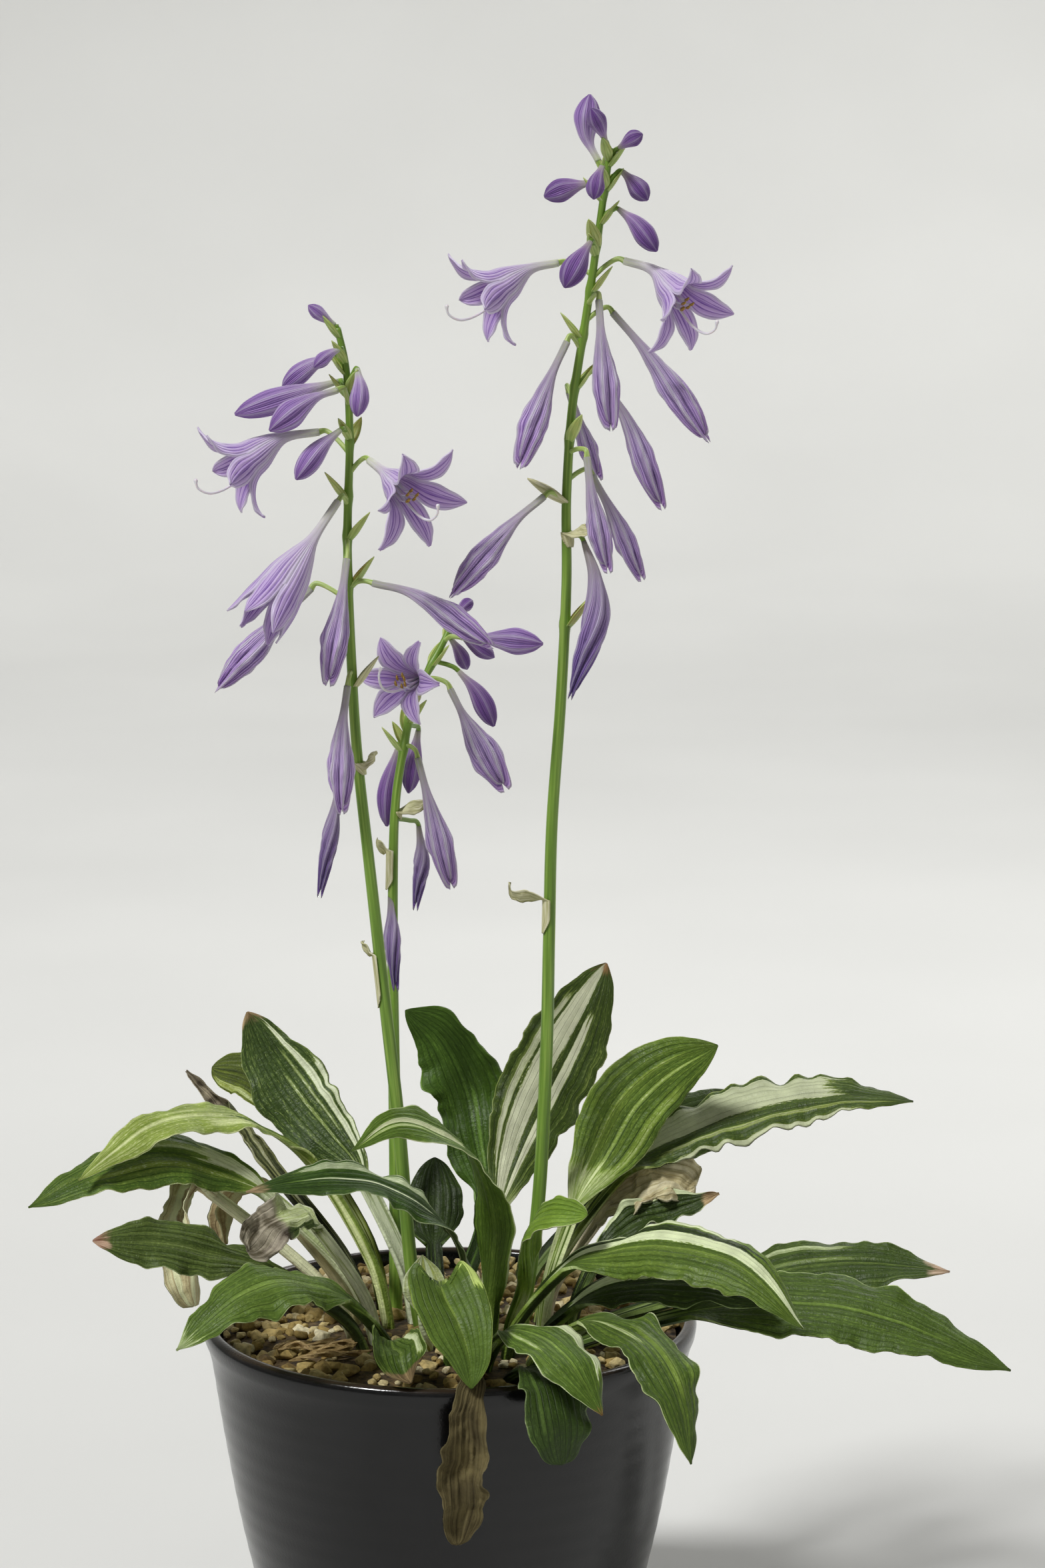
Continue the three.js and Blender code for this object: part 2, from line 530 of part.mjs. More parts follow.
const scapeB = {
  path: [[25, -13, 131], [32, -11, 183], [35, -8, 238], [36, -6, 281], [37, -5, 323], [40, -5, 366],
    [42, -5, 408], [42, -5, 440], [44, -5, 472], [48, -6, 499], [52, -7, 526], [55, -8, 548], [57, -8, 562]],
  fused: [
    { at: 560, path: [[55, -12, 565], [53, -16, 570], [50, -19, 576]], radius: 2 },
    { at: 558, path: [[60, -9, 562], [64, -11, 565], [68, -12, 567]], radius: 1.8 },
    { at: 546, path: [[50, -6, 550], [42, -4, 548], [34, -4, 545]], radius: 2.5 },
    { at: 550, path: [[54, -14, 556], [52, -17, 551], [51, -20, 545]], radius: 2 },
    { at: 549, path: [[61, -6, 554], [65, -6, 550], [70, -8, 544]], radius: 2.2 },
    { at: 538, path: [[60, -9, 541], [66, -13, 536], [73, -17, 527]], radius: 2.5 },
    { at: 527, path: [[50, -14, 530], [46, -19, 524], [41, -24, 515]], radius: 2.8 },
    { at: 428, path: [[48, -8, 425], [52, -10, 412], [52, -12, 396], [44, -14, 372]], radius: 2.4 },
  ],
  blooms: {
    top_bud: { at: 561, path: [[53, 0, 557], [49, 4, 566], [50, 6, 580]], radius: 3.6 },
    open_left: { at: 518, mouth: [[39, -2, 522], [29, -4, 520], [19, -7, 514]], radius: 7, spread: 56, reach: 17 },
    open_right: { at: 517, mouth: [[62, -7, 523], [72, -11, 520], [80, -19, 512]], radius: 7, spread: 60, reach: 17 },
    spent_front: { at: 508, path: [[53, -17, 510], [54, -24, 494], [57, -26, 468]], radius: 5 },
    spent_right: { at: 502, path: [[58, -7, 505], [70, -11, 491], [90, -15, 463]], radius: 5.2 },
    spent_left: { at: 492, path: [[42, -9, 495], [35, -14, 480], [26, -18, 454]], radius: 5.2 },
    spent_back_right: { at: 478, path: [[53, 1, 482], [63, 2, 467], [75, 0, 438]], radius: 4.6 },
    spent_back: { at: 474, path: [[43, 8, 476], [47, 13, 463], [53, 15, 446]], radius: 3.6 },
    spent_mid: { at: 456, path: [[49, -13, 455], [51, -18, 440], [56, -19, 418]], radius: 4.4 },
    spent_mid_right: { at: 446, path: [[51, 3, 447], [59, 4, 432], [68, 3, 412]], radius: 4.2 },
    spent_far_left: { at: 438, path: [[34, -11, 441], [22, -16, 431], [3, -22, 409]], radius: 5 },
  },
  bracts: [[528, 250, 13], [512, 0, 12], [496, 190, 12], [478, 20, 12], [460, -60, 13], [440, 185, 14],
    [428, 20, 11], [546, 60, 9], [290, 185, 17]],
}

const scapeC = {
  path: [[-20, 7, 131], [-20, 14, 188], [-21, 28, 258], [-21, 40, 300], [-20, 44, 323], [-17, 50, 342],
    [-14, 54, 356], [-9, 57, 367], [-3, 61, 378], [1, 64, 386]],
  fused: [
    { at: 382, path: [[0, 67, 379], [3, 69, 374], [6, 71, 367]], radius: 1.8 },
    { at: 384, path: [[3, 68, 381], [9, 71, 376], [16, 74, 371]], radius: 1.9 },
    { at: 385, path: [[2, 66, 388], [5, 68, 391], [8, 70, 393]], radius: 1.6 },
    { at: 372, path: [[3, 60, 368], [10, 58, 360], [16, 56, 348]], radius: 2.5 },
    { at: 344, path: [[-19, 60, 341], [-23, 64, 325], [-24, 64, 309]], radius: 2.6 },
    { at: 349, path: [[-12, 61, 346], [-14, 66, 334], [-16, 67, 321]], radius: 2.3 },
    { at: 316, path: [[-12, 56, 311], [-11, 60, 297], [-13, 60, 281]], radius: 2.2 },
    { at: 294, path: [[-21, 46, 288], [-20, 50, 274], [-19, 50, 258]], radius: 2.3 },
  ],
  blooms: {
    open_star: { at: 362, mouth: [[-6, 52, 364], [-8, 46, 367], [-11, 39, 368]], radius: 5.6, spread: 66, reach: 12 },
    long_bud: { at: 379, path: [[4, 58, 381], [15, 54, 381], [34, 48, 380]], radius: 3.4 },
    spent_right: { at: 366, path: [[0, 49, 363], [7, 44, 350], [19, 38, 330]], radius: 5.8 },
    spent_low_right: { at: 342, path: [[-12, 46, 338], [-7, 42, 319], [0, 38, 293]], radius: 4.8 },
  },
  bracts: [[370, 60, 11], [350, -30, 12], [340, 190, 12], [318, 0, 12], [296, 170, 13]],
}

// A frame across a direction, kept level with the ground where it can be.
function across(direction) {
  const reference = Math.abs(direction.z) > 0.95 ? new THREE.Vector3(0, 1, 0) : up
  const e1 = reference.clone().addScaledVector(direction, -reference.dot(direction)).normalize()
  return { e1, e2: direction.clone().cross(e1) }
}

function ring(centre, direction, radius, sides, scaleOf = () => 1) {
  const { e1, e2 } = across(direction)
  const points = []
  for (let j = 0; j < sides; j += 1) {
    const angle = (2 * Math.PI * j) / sides
    const r = radius * scaleOf(j)
    points.push(centre.clone().addScaledVector(e1, r * Math.cos(angle)).addScaledVector(e2, r * Math.sin(angle)))
  }
  return points
}

// Rings that follow one another without twisting: the same reference is carried along.
function carriedRings(stations, sides, scaleOf) {
  let carried = across(stations[0].direction).e1
  return stations.map(({ centre, direction, radius, share }) => {
    carried = carried.clone().addScaledVector(direction, -carried.dot(direction)).normalize()
    const e2 = direction.clone().cross(carried)
    const points = []
    for (let j = 0; j < sides; j += 1) {
      const angle = (2 * Math.PI * j) / sides
      const r = radius * (scaleOf ? scaleOf(j, share) : 1)
      const out = carried.clone().multiplyScalar(r * Math.cos(angle)).addScaledVector(e2, r * Math.sin(angle))
      points.push(centre.clone().add(out))
    }
    return points
  })
}

function tube(curve, radii, sides, scaleOf) {
  const stations = radii.map(([share, radius]) => ({
    centre: curve.at(curve.length * share),
    direction: curve.along(curve.length * share),
    radius,
    share,
  }))
  return loft(carriedRings(stations, sides, scaleOf))
}

// A closed flower: thin tube, swelling to six pleats, drawn to a blunt tip.
function closedBloom({ path, radius }, sides) {
  const profile = [[0, 1.3], [0.28, 1.7], [0.5, radius * 0.74], [0.72, radius], [0.89, radius * 0.66],
    [1, radius * 0.16]]
  const pleat = (j, share) => (j % 2 === 1 ? lerp(1, 0.62, smooth(share * 1.4 - 0.2)) : 1)
  return tube(curveThrough(path), profile, sides, pleat)
}

// A small bud or shrivelled flower in one run with its stalk, starting inside the stem.
function stalkedBud(stem, { at, path, radius }) {
  const start = pointAtHeight(stem, at)
  const first = vec(path[0])
  const middle = start.clone().lerp(first, 0.6)
  middle.z += 0.8
  const curve = curveThrough([start.toArray(), middle.toArray(), ...path])
  const foot = curve.knot(2) / curve.length
  const profile = [[0, stalkRadius], [foot, stalkRadius], [lerp(foot, 1, 0.4), radius * 0.75],
    [lerp(foot, 1, 0.75), radius], [1, radius * 0.2]]
  return tube(curve, profile, 5)
}

// An open bell: a hollow tube that parts into six recurved petals, with style and stamens.
function openBloom({ mouth, radius, spread, reach = 23 }, seed) {
  const curve = curveThrough(mouth)
  const points = []
  const faces = []
  const add = (p) => points.push(p) - 1
  const quad = (a, b, c, d) => faces.push([a, b, c], [a, c, d])
  const flute = (j) => (j % 2 === 0 ? 0.93 : 1)
  const widths = [[0, 1.4], [0.42, 1.9], [0.66, radius * 0.58], [0.84, radius * 0.86], [1, radius]]
  const outer = []
  const inner = []
  widths.forEach(([share, r], i) => {
    const centre = curve.at(curve.length * share)
    const direction = curve.along(curve.length * share)
    outer.push(ring(centre, direction, r, 12, flute).map(add))
    if (i >= 2) inner.push(ring(centre, direction, r - petalThickness * 1.1, 12, flute).map(add))
  })
  for (let r = 0; r + 1 < outer.length; r += 1) {
    for (let j = 0; j < 12; j += 1) {
      const k = (j + 1) % 12
      quad(outer[r][j], outer[r][k], outer[r + 1][k], outer[r + 1][j])
      if (r + 1 < inner.length) quad(inner[r][j], inner[r + 1][j], inner[r + 1][k], inner[r][k])
    }
  }
  for (let j = 1; j < 11; j += 1) {
    faces.push([outer[0][0], outer[0][j + 1], outer[0][j]])
    faces.push([inner[0][0], inner[0][j], inner[0][j + 1]])
  }
  const axis = curve.along(curve.length)
  const { e1, e2 } = across(axis)
  const centre = curve.at(curve.length)
  for (let k = 0; k < 6; k += 1) {
    const angle = (Math.PI / 3) * k + Math.PI / 6
    const out = e1.clone().multiplyScalar(Math.cos(angle)).addScaledVector(e2, Math.sin(angle))
    const around = axis.clone().cross(out)
    const tilt = spread + 14 * Math.sin(k * 2.4 + seed)
    const halfWidth = k % 2 === 0 ? 5.2 : 4.4
    let rho = radius
    let zeta = 0
    const rowsOuter = [[outer.at(-1)[2 * k], outer.at(-1)[2 * k + 1], outer.at(-1)[(2 * k + 2) % 12]]]
    const rowsInner = [[inner.at(-1)[2 * k], inner.at(-1)[2 * k + 1], inner.at(-1)[(2 * k + 2) % 12]]]
    const shares = [0, 0.35, 0.72, 1]
    const spans = [0, 1, 0.84, 0.12]
    for (let i = 1; i < shares.length; i += 1) {
      const middle = (shares[i] + shares[i - 1]) / 2
      const step = reach * (shares[i] - shares[i - 1])
      const bend = THREE.MathUtils.degToRad(lerp(Math.min(20, spread), tilt * 1.45, middle))
      rho += step * Math.sin(bend)
      zeta += step * Math.cos(bend)
      const endBend = THREE.MathUtils.degToRad(lerp(Math.min(20, spread), tilt * 1.45, shares[i]))
      const inward = out.clone().multiplyScalar(-Math.cos(endBend)).addScaledVector(axis, Math.sin(endBend))
      const sector = rho * 0.5 - 0.3
      const span = Math.min(halfWidth * spans[i], sector)
      const rowO = []
      const rowI = []
      for (const c of [-1, 0, 1]) {
        const p = centre.clone().addScaledVector(axis, zeta).addScaledVector(out, rho)
        p.addScaledVector(around, c * span).addScaledVector(inward, c === 0 ? 0 : span * 0.2)
        rowO.push(add(p))
        rowI.push(add(p.clone().addScaledVector(inward, petalThickness)))
      }
      rowsOuter.push(rowO)
      rowsInner.push(rowI)
    }
    for (let i = 0; i + 1 < rowsOuter.length; i += 1) {
      const [o, p, n, m] = [rowsOuter[i], rowsOuter[i + 1], rowsInner[i], rowsInner[i + 1]]
      for (let c = 0; c < 2; c += 1) {
        quad(o[c], o[c + 1], p[c + 1], p[c])
        quad(n[c], m[c], m[c + 1], n[c + 1])
      }
      quad(o[2], n[2], m[2], p[2])
      quad(o[0], p[0], m[0], n[0])
    }
    const [tipO, tipI] = [rowsOuter.at(-1), rowsInner.at(-1)]
    quad(tipO[0], tipO[1], tipI[1], tipI[0])
    quad(tipO[1], tipO[2], tipI[2], tipI[1])
  }
  const shell = closedGeometry(points, faces)
  if (spread < 30) return shell
  let bloom = toManifold(shell)
  for (const part of stamens(curve, axis, e1, e2)) bloom = bloom.add(toManifold(part))
  return fromManifold(bloom)
}

// Six bowed stamens with small anthers, and a longer upturned style, from the solid tube base.
function stamens(curve, axis, e1, e2) {
  const root = curve.at(curve.length * 0.5)
  const mouthCentre = curve.at(curve.length)
  const made = []
  for (let k = 0; k < 7; k += 1) {
    const isStyle = k === 6
    const angle = (Math.PI / 3) * k
    const spreadOut = isStyle ? 0 : 1.35
    const offset = e1.clone().multiplyScalar(Math.cos(angle)).addScaledVector(e2, Math.sin(angle))
    const start = root.clone().addScaledVector(offset, spreadOut * 0.75)
    const sag = isStyle ? -2 : -2.5
    const middle = mouthCentre.clone().addScaledVector(offset, spreadOut * 1.9).addScaledVector(e1, sag)
    const far = isStyle ? 21 : 10 + (k % 3)
    const end = mouthCentre.clone().addScaledVector(offset, spreadOut * 3).addScaledVector(axis, far)
    end.addScaledVector(e1, isStyle ? 5 : -1)
    const line = curveThrough([start.toArray(), middle.toArray(), end.toArray()])
    made.push(tube(line, [[0, 0.6], [0.6, 0.55], [1, 0.95]], 3))
  }
  return made
}

// A boat-shaped bract clasping the stem: a small folded blade.
function makeBract(stem, height, turn, size) {
  const centre = pointAtHeight(stem, height)
  const angle = THREE.MathUtils.degToRad(turn)
  const out = new THREE.Vector3(Math.cos(angle), Math.sin(angle), 0)
  const sideways = up.clone().cross(out)
  const top = []
  const bottom = []
  for (const [share, half, away, rise] of [[0, 1.2, 0.2, -0.1], [0.45, 3.7, 4, 0.45], [1, 0.6, 7.6, 1.1]]) {
    const rowTop = []
    const rowBottom = []
    const tilt = lerp(0.35, 0.75, share)
    const inward = out.clone().multiplyScalar(-Math.sin(1.2 - tilt)).addScaledVector(up, Math.cos(1.2 - tilt))
    for (const c of [-1, 0, 1]) {
      const p = centre.clone().addScaledVector(out, away * (size / 13)).addScaledVector(up, rise * size * 0.62)
      p.addScaledVector(sideways, c * half * 0.9).addScaledVector(inward, c === 0 ? -half * 0.3 : half * 0.3)
      rowTop.push(p)
      rowBottom.push(p.clone().addScaledVector(inward, -0.85))
    }
    top.push(rowTop)
    bottom.push(rowBottom)
  }
  return bladeSolid(top, bottom)
}

function pointAtHeight(curve, height) {
  let low = 0
  let high = curve.length
  for (let i = 0; i < 24; i += 1) {
    const middle = (low + high) / 2
    if (curve.at(middle).z < height) low = middle
    else high = middle
  }
  return curve.at(low)
}

// The thin stalk of one flower, from inside the stem to the flower's base.
function makeStalk(stem, height, flowerPath) {
  const start = pointAtHeight(stem, height)
  const flower = curveThrough(flowerPath)
  const end = flower.at(0).addScaledVector(flower.along(0), -fitGap)
  const before = end.clone().addScaledVector(flower.along(0), -2.2)
  const middle = start.clone().lerp(before, 0.55)
  middle.z += 0.8
  const line = curveThrough([start.toArray(), middle.toArray(), before.toArray(), end.toArray()])
  return tube(line, [[0, stalkRadius], [0.6, stalkRadius], [1, stalkRadius]], 4)
}

function makeScape(scape) {
  const stem = curveThrough(scape.path)
  const radii = []
  const steps = 10
  for (let i = 0; i <= steps; i += 1) {
    const share = i / steps
    radii.push([share, lerp(stemBottomRadius, stemTopRadius, Math.pow(share, 1.4))])
  }
  const parts = [tube(stem, radii, 7)]
  for (const bud of scape.fused) parts.push(stalkedBud(stem, bud))
  for (const bloom of Object.values(scape.blooms)) {
    parts.push(makeStalk(stem, bloom.at, bloom.path ?? bloom.mouth))
  }
  for (const [height, turn, size] of scape.bracts) parts.push(makeBract(stem, height, turn, size))
  return fromManifold(fuse(parts))
}

// ---------------------------------------------------------------- the whole object
const plant = new THREE.Group()
plant.name = 'potted_hosta'

function place(name, geometry, finish) {
  const mesh = new THREE.Mesh(geometry, finish)
  mesh.name = name
  plant.add(mesh)
}

const openings = []
for (const leaf of Object.values(leaves)) {
  openings.push({ curve: leafPath(leaf), radius: holeRadius })
}
for (const scape of [scapeA, scapeB, scapeC]) {
  openings.push({ curve: curveThrough(scape.path), radius: stemBottomRadius + 1 })
}

place('pot', makePot(), glaze())
place('gravel', makeGravel(openings), grit())
for (const [name, leaf] of Object.entries(leaves)) place(`leaf_${name}`, makeLeaf(leaf), leaf.color())
for (const [letter, scape] of Object.entries({ a: scapeA, b: scapeB, c: scapeC })) {
  place(`scape_${letter}`, makeScape(scape), stemGreen())
  Object.entries(scape.blooms).forEach(([name, bloom], i) => {
    const geometry = bloom.mouth ? openBloom(bloom, i) : closedBloom(bloom, 10)
    place(`bloom_${letter}_${name}`, geometry, bloom.mouth ? lavender() : paleLavender())
  })
}

export default plant
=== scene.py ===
# %% [markdown]
# # A small variegated hosta in flower, in a black glazed pot
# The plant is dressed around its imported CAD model. The model gives every size and place, in
# metres, and this script adds what the eye reads as alive: thin rippled blades with pale
# streaks, pleated lavender bells, waxy stems, angular grit and a dark glaze. Each leaf and
# flower is first written down as a smooth line in millimetres, because that is how a gardener
# would describe it: where it leaves the grit, how it arches and where its tip hangs. A grid is
# then laid along that line. Growing it this way keeps every blade a clean sheet of quads.

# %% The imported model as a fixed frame
import bisect
import math
import random

import bmesh
import bpy
from mathutils import Matrix, Vector, noise


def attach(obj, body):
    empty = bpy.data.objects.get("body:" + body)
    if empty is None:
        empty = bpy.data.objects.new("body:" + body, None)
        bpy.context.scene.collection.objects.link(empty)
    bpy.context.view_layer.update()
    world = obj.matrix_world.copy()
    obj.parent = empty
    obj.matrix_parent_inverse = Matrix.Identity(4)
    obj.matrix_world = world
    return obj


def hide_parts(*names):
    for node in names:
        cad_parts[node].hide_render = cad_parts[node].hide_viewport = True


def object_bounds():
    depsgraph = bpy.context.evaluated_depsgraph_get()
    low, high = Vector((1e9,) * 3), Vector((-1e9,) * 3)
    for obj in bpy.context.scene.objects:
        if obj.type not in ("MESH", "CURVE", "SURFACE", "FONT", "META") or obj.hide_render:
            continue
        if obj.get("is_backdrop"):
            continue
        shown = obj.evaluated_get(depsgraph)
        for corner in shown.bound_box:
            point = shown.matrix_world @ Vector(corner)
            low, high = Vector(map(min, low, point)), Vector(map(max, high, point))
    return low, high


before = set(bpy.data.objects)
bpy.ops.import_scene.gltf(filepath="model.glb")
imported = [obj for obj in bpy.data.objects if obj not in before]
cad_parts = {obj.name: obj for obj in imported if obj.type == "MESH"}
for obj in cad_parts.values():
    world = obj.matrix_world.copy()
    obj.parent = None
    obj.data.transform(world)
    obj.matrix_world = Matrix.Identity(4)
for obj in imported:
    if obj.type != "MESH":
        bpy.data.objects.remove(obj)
cad_low, cad_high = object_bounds()
MM = 0.001
UP = Vector((0, 0, 1))
# Blender's vector noise starts from the clock; a fixed seed gives the same creases in every run.
noise.seed_set(17)
print("the frame has", len(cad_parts), "nodes and is", [round(v, 3) for v in cad_high - cad_low], "m")

# %% [markdown]
# ## Small helpers
# Colours are picked as sRGB hex values, as a paint chart gives them, and nodes want linear
# light, so one function turns them. One more function adds a shader node with its links and its
# settings, and every material below is built from it. Streaks, veins and fibres all start from
# the same pattern, a noise that is drawn out along its piece.

# %% Colour and nodes
MIX_A, MIX_B, MIX_RESULT = 6, 7, 2        # the colour sockets of a Mix node
SOFT = {"interpolation_type": "SMOOTHSTEP"}
COLOUR = {"data_type": "RGBA"}
TINTED = {"data_type": "RGBA", "blend_type": "MULTIPLY"}


def srgb(code):
    """An sRGB hex value as the linear colour that nodes use."""
    channels = [int(code[i:i + 2], 16) / 255 for i in (1, 3, 5)]
    return tuple(c / 12.92 if c <= 0.04045 else ((c + 0.055) / 1.055) ** 2.4 for c in channels) + (1.0,)


def add(tree, kind, inputs=None, **settings):
    """Add one shader node. Inputs are numbers, colours, nodes or outputs; settings are its own."""
    node = tree.nodes.new("ShaderNode" + kind)
    for key, value in settings.items():
        if key == "stops":
            stops = node.color_ramp.elements
            while len(stops) < len(value):
                stops.new(0.5)
            for stop, (position, colour) in zip(stops, value):
                stop.position, stop.color = position, srgb(colour)
        else:
            setattr(node, key, value)
    for key, value in (inputs or {}).items():
        if isinstance(value, bpy.types.Node):
            value = value.outputs[0]
        if isinstance(value, bpy.types.NodeSocket):
            tree.links.new(value, node.inputs[key])
        else:
            node.inputs[key].default_value = value
    return node


def new_material(name, **uniform):
    """A material with an empty Principled shader; uniform values go straight on its sockets."""
    made = bpy.data.materials.new(name)
    made.use_nodes = True
    tree = made.node_tree
    tree.nodes.clear()
    shader = add(tree, "BsdfPrincipled", {key.replace("_", " "): value for key, value in uniform.items()})
    add(tree, "OutputMaterial", {"Surface": shader})
    return made, tree, shader


def join(tree, shader, **outputs):
    """Link finished outputs to the shader's sockets by name."""
    for key, node in outputs.items():
        socket = node.outputs[0] if isinstance(node, bpy.types.Node) else node
        tree.links.new(socket, shader.inputs[key.replace("_", " ")])


def drawn_noise(tree, uv, across, along, detail, shift=0.0):
    """Noise on the UV map, with this many grains across and along the piece."""
    drawn = add(tree, "Mapping", {"Vector": uv, "Location": (0, 0, shift), "Scale": (across, along, 1)})
    return add(tree, "TexNoise", {"Vector": drawn, "Scale": 1.0, "Detail": detail})


# %% [markdown]
# ## Lines, tables and grids
# A leaf or a stem follows a Catmull-Rom line, which passes through every point that is given.
# The line is read by its own length, so that rows of a grid stay evenly spaced. Widths that
# change along a line come from short tables, smoothed in the same way. The one shape used for
# nearly everything is a grid from `create_grid`, whose vertices are then moved into place: it
# brings its own UV map, u across and v along, which the veins and streaks follow later. The
# turned things, such as the pot, are a profile spun about the upright axis.

# %% A smooth line through points
SPAN_STEPS = 24
REACH_OF_A_TANGENT = 0.012                # of the length, to each side of the point


def smooth_points(points):
    """Points of a Catmull-Rom line through the given points, SPAN_STEPS to each span."""
    p = [Vector(q) for q in points]
    p = [2 * p[0] - p[1], *p, 2 * p[-1] - p[-2]]
    made = [p[1]]
    for a, b, c, d in zip(p, p[1:], p[2:], p[3:]):
        start, end = (c - a) / 2, (d - b) / 2
        for i in range(1, SPAN_STEPS + 1):
            t = i / SPAN_STEPS
            bend = 3 * (c - b) - 2 * start - end
            turn = 2 * (b - c) + start + end
            made.append(b + start * t + bend * t ** 2 + turn * t ** 3)
    return made


class Line:
    """A smooth line in mm, read by the distance along it."""

    def __init__(self, points):
        self.points = smooth_points(points)
        self.reach = [0.0]
        for a, b in zip(self.points, self.points[1:]):
            self.reach.append(self.reach[-1] + (b - a).length)
        self.length = self.reach[-1]

    def at(self, distance):
        """The point at a distance from the start."""
        d = min(self.length, max(0.0, distance))
        i = min(len(self.reach) - 1, max(1, bisect.bisect_left(self.reach, d)))
        step = max(1e-6, self.reach[i] - self.reach[i - 1])
        return self.points[i - 1].lerp(self.points[i], (d - self.reach[i - 1]) / step)

    def along(self, distance):
        """The direction of the line at a distance from the start."""
        near = self.length * REACH_OF_A_TANGENT
        return (self.at(distance + near) - self.at(distance - near)).normalized()

    def knot(self, index):
        """How far along the line its given point number `index` lies."""
        return self.reach[index * SPAN_STEPS]

    def at_height(self, height):
        """The point of a rising line at a height."""
        for a, b in zip(self.points, self.points[1:]):
            if b.z >= height > a.z:
                return a.lerp(b, (height - a.z) / (b.z - a.z))
        return self.points[-1].copy()


def lerp(a, b, t):
    """The value a share t of the way from a to b."""
    return a + (b - a) * t


def smooth(t):
    """A soft step, from 0 at t = 0 to 1 at t = 1."""
    c = min(1.0, max(0.0, t))
    return c * c * (3 - 2 * c)


def table(*stations):
    """A smooth function through (place, value) pairs."""
    points = smooth_points([(x, y, 0) for x, y in stations])
    places = [p.x for p in points]

    def read(x):
        i = min(len(points) - 1, max(1, bisect.bisect_left(places, x)))
        a, b = points[i - 1], points[i]
        return lerp(a.y, b.y, min(1.0, max(0.0, (x - a.x) / max(1e-6, b.x - a.x))))

    return read


# %% Grids, tubes and spun profiles
UV_NAME = "growth"
SAME_PLACE = 2e-6                         # m, points closer than this are merged


def new_mesh():
    """An empty mesh with the UV map that every grid fills."""
    bm = bmesh.new()
    bm.loops.layers.uv.new(UV_NAME)
    return bm


def laid_grid(bm, rows, columns, place, row_v=None, material=0, flip=False):
    """A grid whose vertex in row i and column j moves to place(i, j), in mm."""
    uv = bm.loops.layers.uv[UV_NAME]
    verts = bmesh.ops.create_grid(bm, x_segments=columns, y_segments=rows, size=1.0, calc_uvs=True)["verts"]
    faces = {face for vert in verts for face in vert.link_faces}
    for face in faces:
        face.material_index = material
        for loop in face.loops:
            if row_v:
                loop[uv].uv.y = row_v[round(loop[uv].uv.y * rows)]
    for vert in verts:
        i, j = round((vert.co.y + 1) / 2 * rows), round((vert.co.x + 1) / 2 * columns)
        vert.co = place(i, j) * MM
    if flip:
        bmesh.ops.reverse_faces(bm, faces=list(faces))
    return verts, list(faces)


def level_reference(along):
    """The upright direction, or the y axis where `along` is itself nearly upright."""
    return Vector((0, 1, 0)) if abs(along.z) > 0.95 else UP


def square_to(along, direction):
    """The part of a direction that is square to `along`, one unit long."""
    return (direction - along * direction.dot(along)).normalized()


def carried_frames(line, distances):
    """Centre, direction and two sideways directions at each distance, carried along without twist."""
    side = level_reference(line.along(distances[0]))
    made = []
    for distance in distances:
        along = line.along(distance)
        side = square_to(along, side)
        made.append((line.at(distance), along, side, along.cross(side)))
    return made


def tube(bm, line, width, sides, rows, shape=None, material=0, last=1.0, twist=0.0):
    """A closed tube along a line. width(share) is its radius; shape(angle, share) changes it."""
    shares = [0.0, *(last * (i / rows) for i in range(rows + 1)), last]
    frames = carried_frames(line, [share * line.length for share in shares])
    closed = len(shares) - 1

    def place(i, j):
        centre, along, side, across = frames[i]
        if i in (0, closed):
            return centre
        angle = 2 * math.pi * j / sides
        radius, push = width(shares[i]), 0.0
        if shape:
            factor, push = shape(angle, shares[i])
            radius *= factor
        angle += twist * shares[i]
        return centre + (side * math.cos(angle) + across * math.sin(angle)) * radius + along * push

    verts, _ = laid_grid(bm, closed, sides, place, shares, material)
    bmesh.ops.remove_doubles(bm, verts=verts, dist=SAME_PLACE)


def spun(bm, profile, steps, unit=MM):
    """Spin a profile of (radius, height) points about the upright axis, and return its faces."""
    other_verts, other_faces = set(bm.verts), set(bm.faces)
    corners = [bm.verts.new((radius * unit, 0, height * unit)) for radius, height in profile]
    edges = [bm.edges.new(pair) for pair in zip(corners, corners[1:])]
    bmesh.ops.spin(bm, geom=corners + edges, cent=(0, 0, 0), axis=UP, angle=2 * math.pi, steps=steps,
                   use_merge=True)
    turned = [vert for vert in bm.verts if vert not in other_verts]
    bmesh.ops.remove_doubles(bm, verts=turned, dist=SAME_PLACE)
    faces = [face for face in bm.faces if face not in other_faces]
    bmesh.ops.recalc_face_normals(bm, faces=faces)
    return faces


# %% Finished pieces
def mesh_object(name, bm):
    """An object of the scene with this mesh."""
    mesh = bpy.data.meshes.new(name)
    bm.to_mesh(mesh)
    bm.free()
    made = bpy.data.objects.new(name, mesh)
    bpy.context.scene.collection.objects.link(made)
    return made


def finished(name, bm, materials, node, slot, flat=False):
    """A piece that stands for a CAD node, seated on the plant and smooth unless it is flat."""
    made = mesh_object(name, bm)
    if not flat:
        made.data.shade_smooth()
    for one in materials:
        made.data.materials.append(one)
    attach(made, "root")
    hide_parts(node)
    return made


# %% [markdown]
# ## Camera, floor and light
# The plant is seen from slightly above, with a long lens, and its pot runs out of the picture
# at the bottom. It stands in a round white sweep, a floor that turns up into a wall without a
# corner, as photographers use. A broad soft key light comes from the upper left, the pale room
# fills the shadows, and one lamp from behind catches the thin edges of petals and blades.

# %% Camera
camera_data = bpy.data.cameras.new("camera")
camera_data.sensor_width = 36.0
camera_data.lens = 103.7
camera_data.clip_end = 100.0
camera = bpy.data.objects.new("camera", camera_data)
camera.location = (0.0265, -1.5868, 0.625)
camera.rotation_euler = (math.radians(79.7), 0.0, 0.0)
bpy.context.scene.collection.objects.link(camera)
bpy.context.scene.camera = camera
bpy.context.scene.view_settings.view_transform = "Standard"

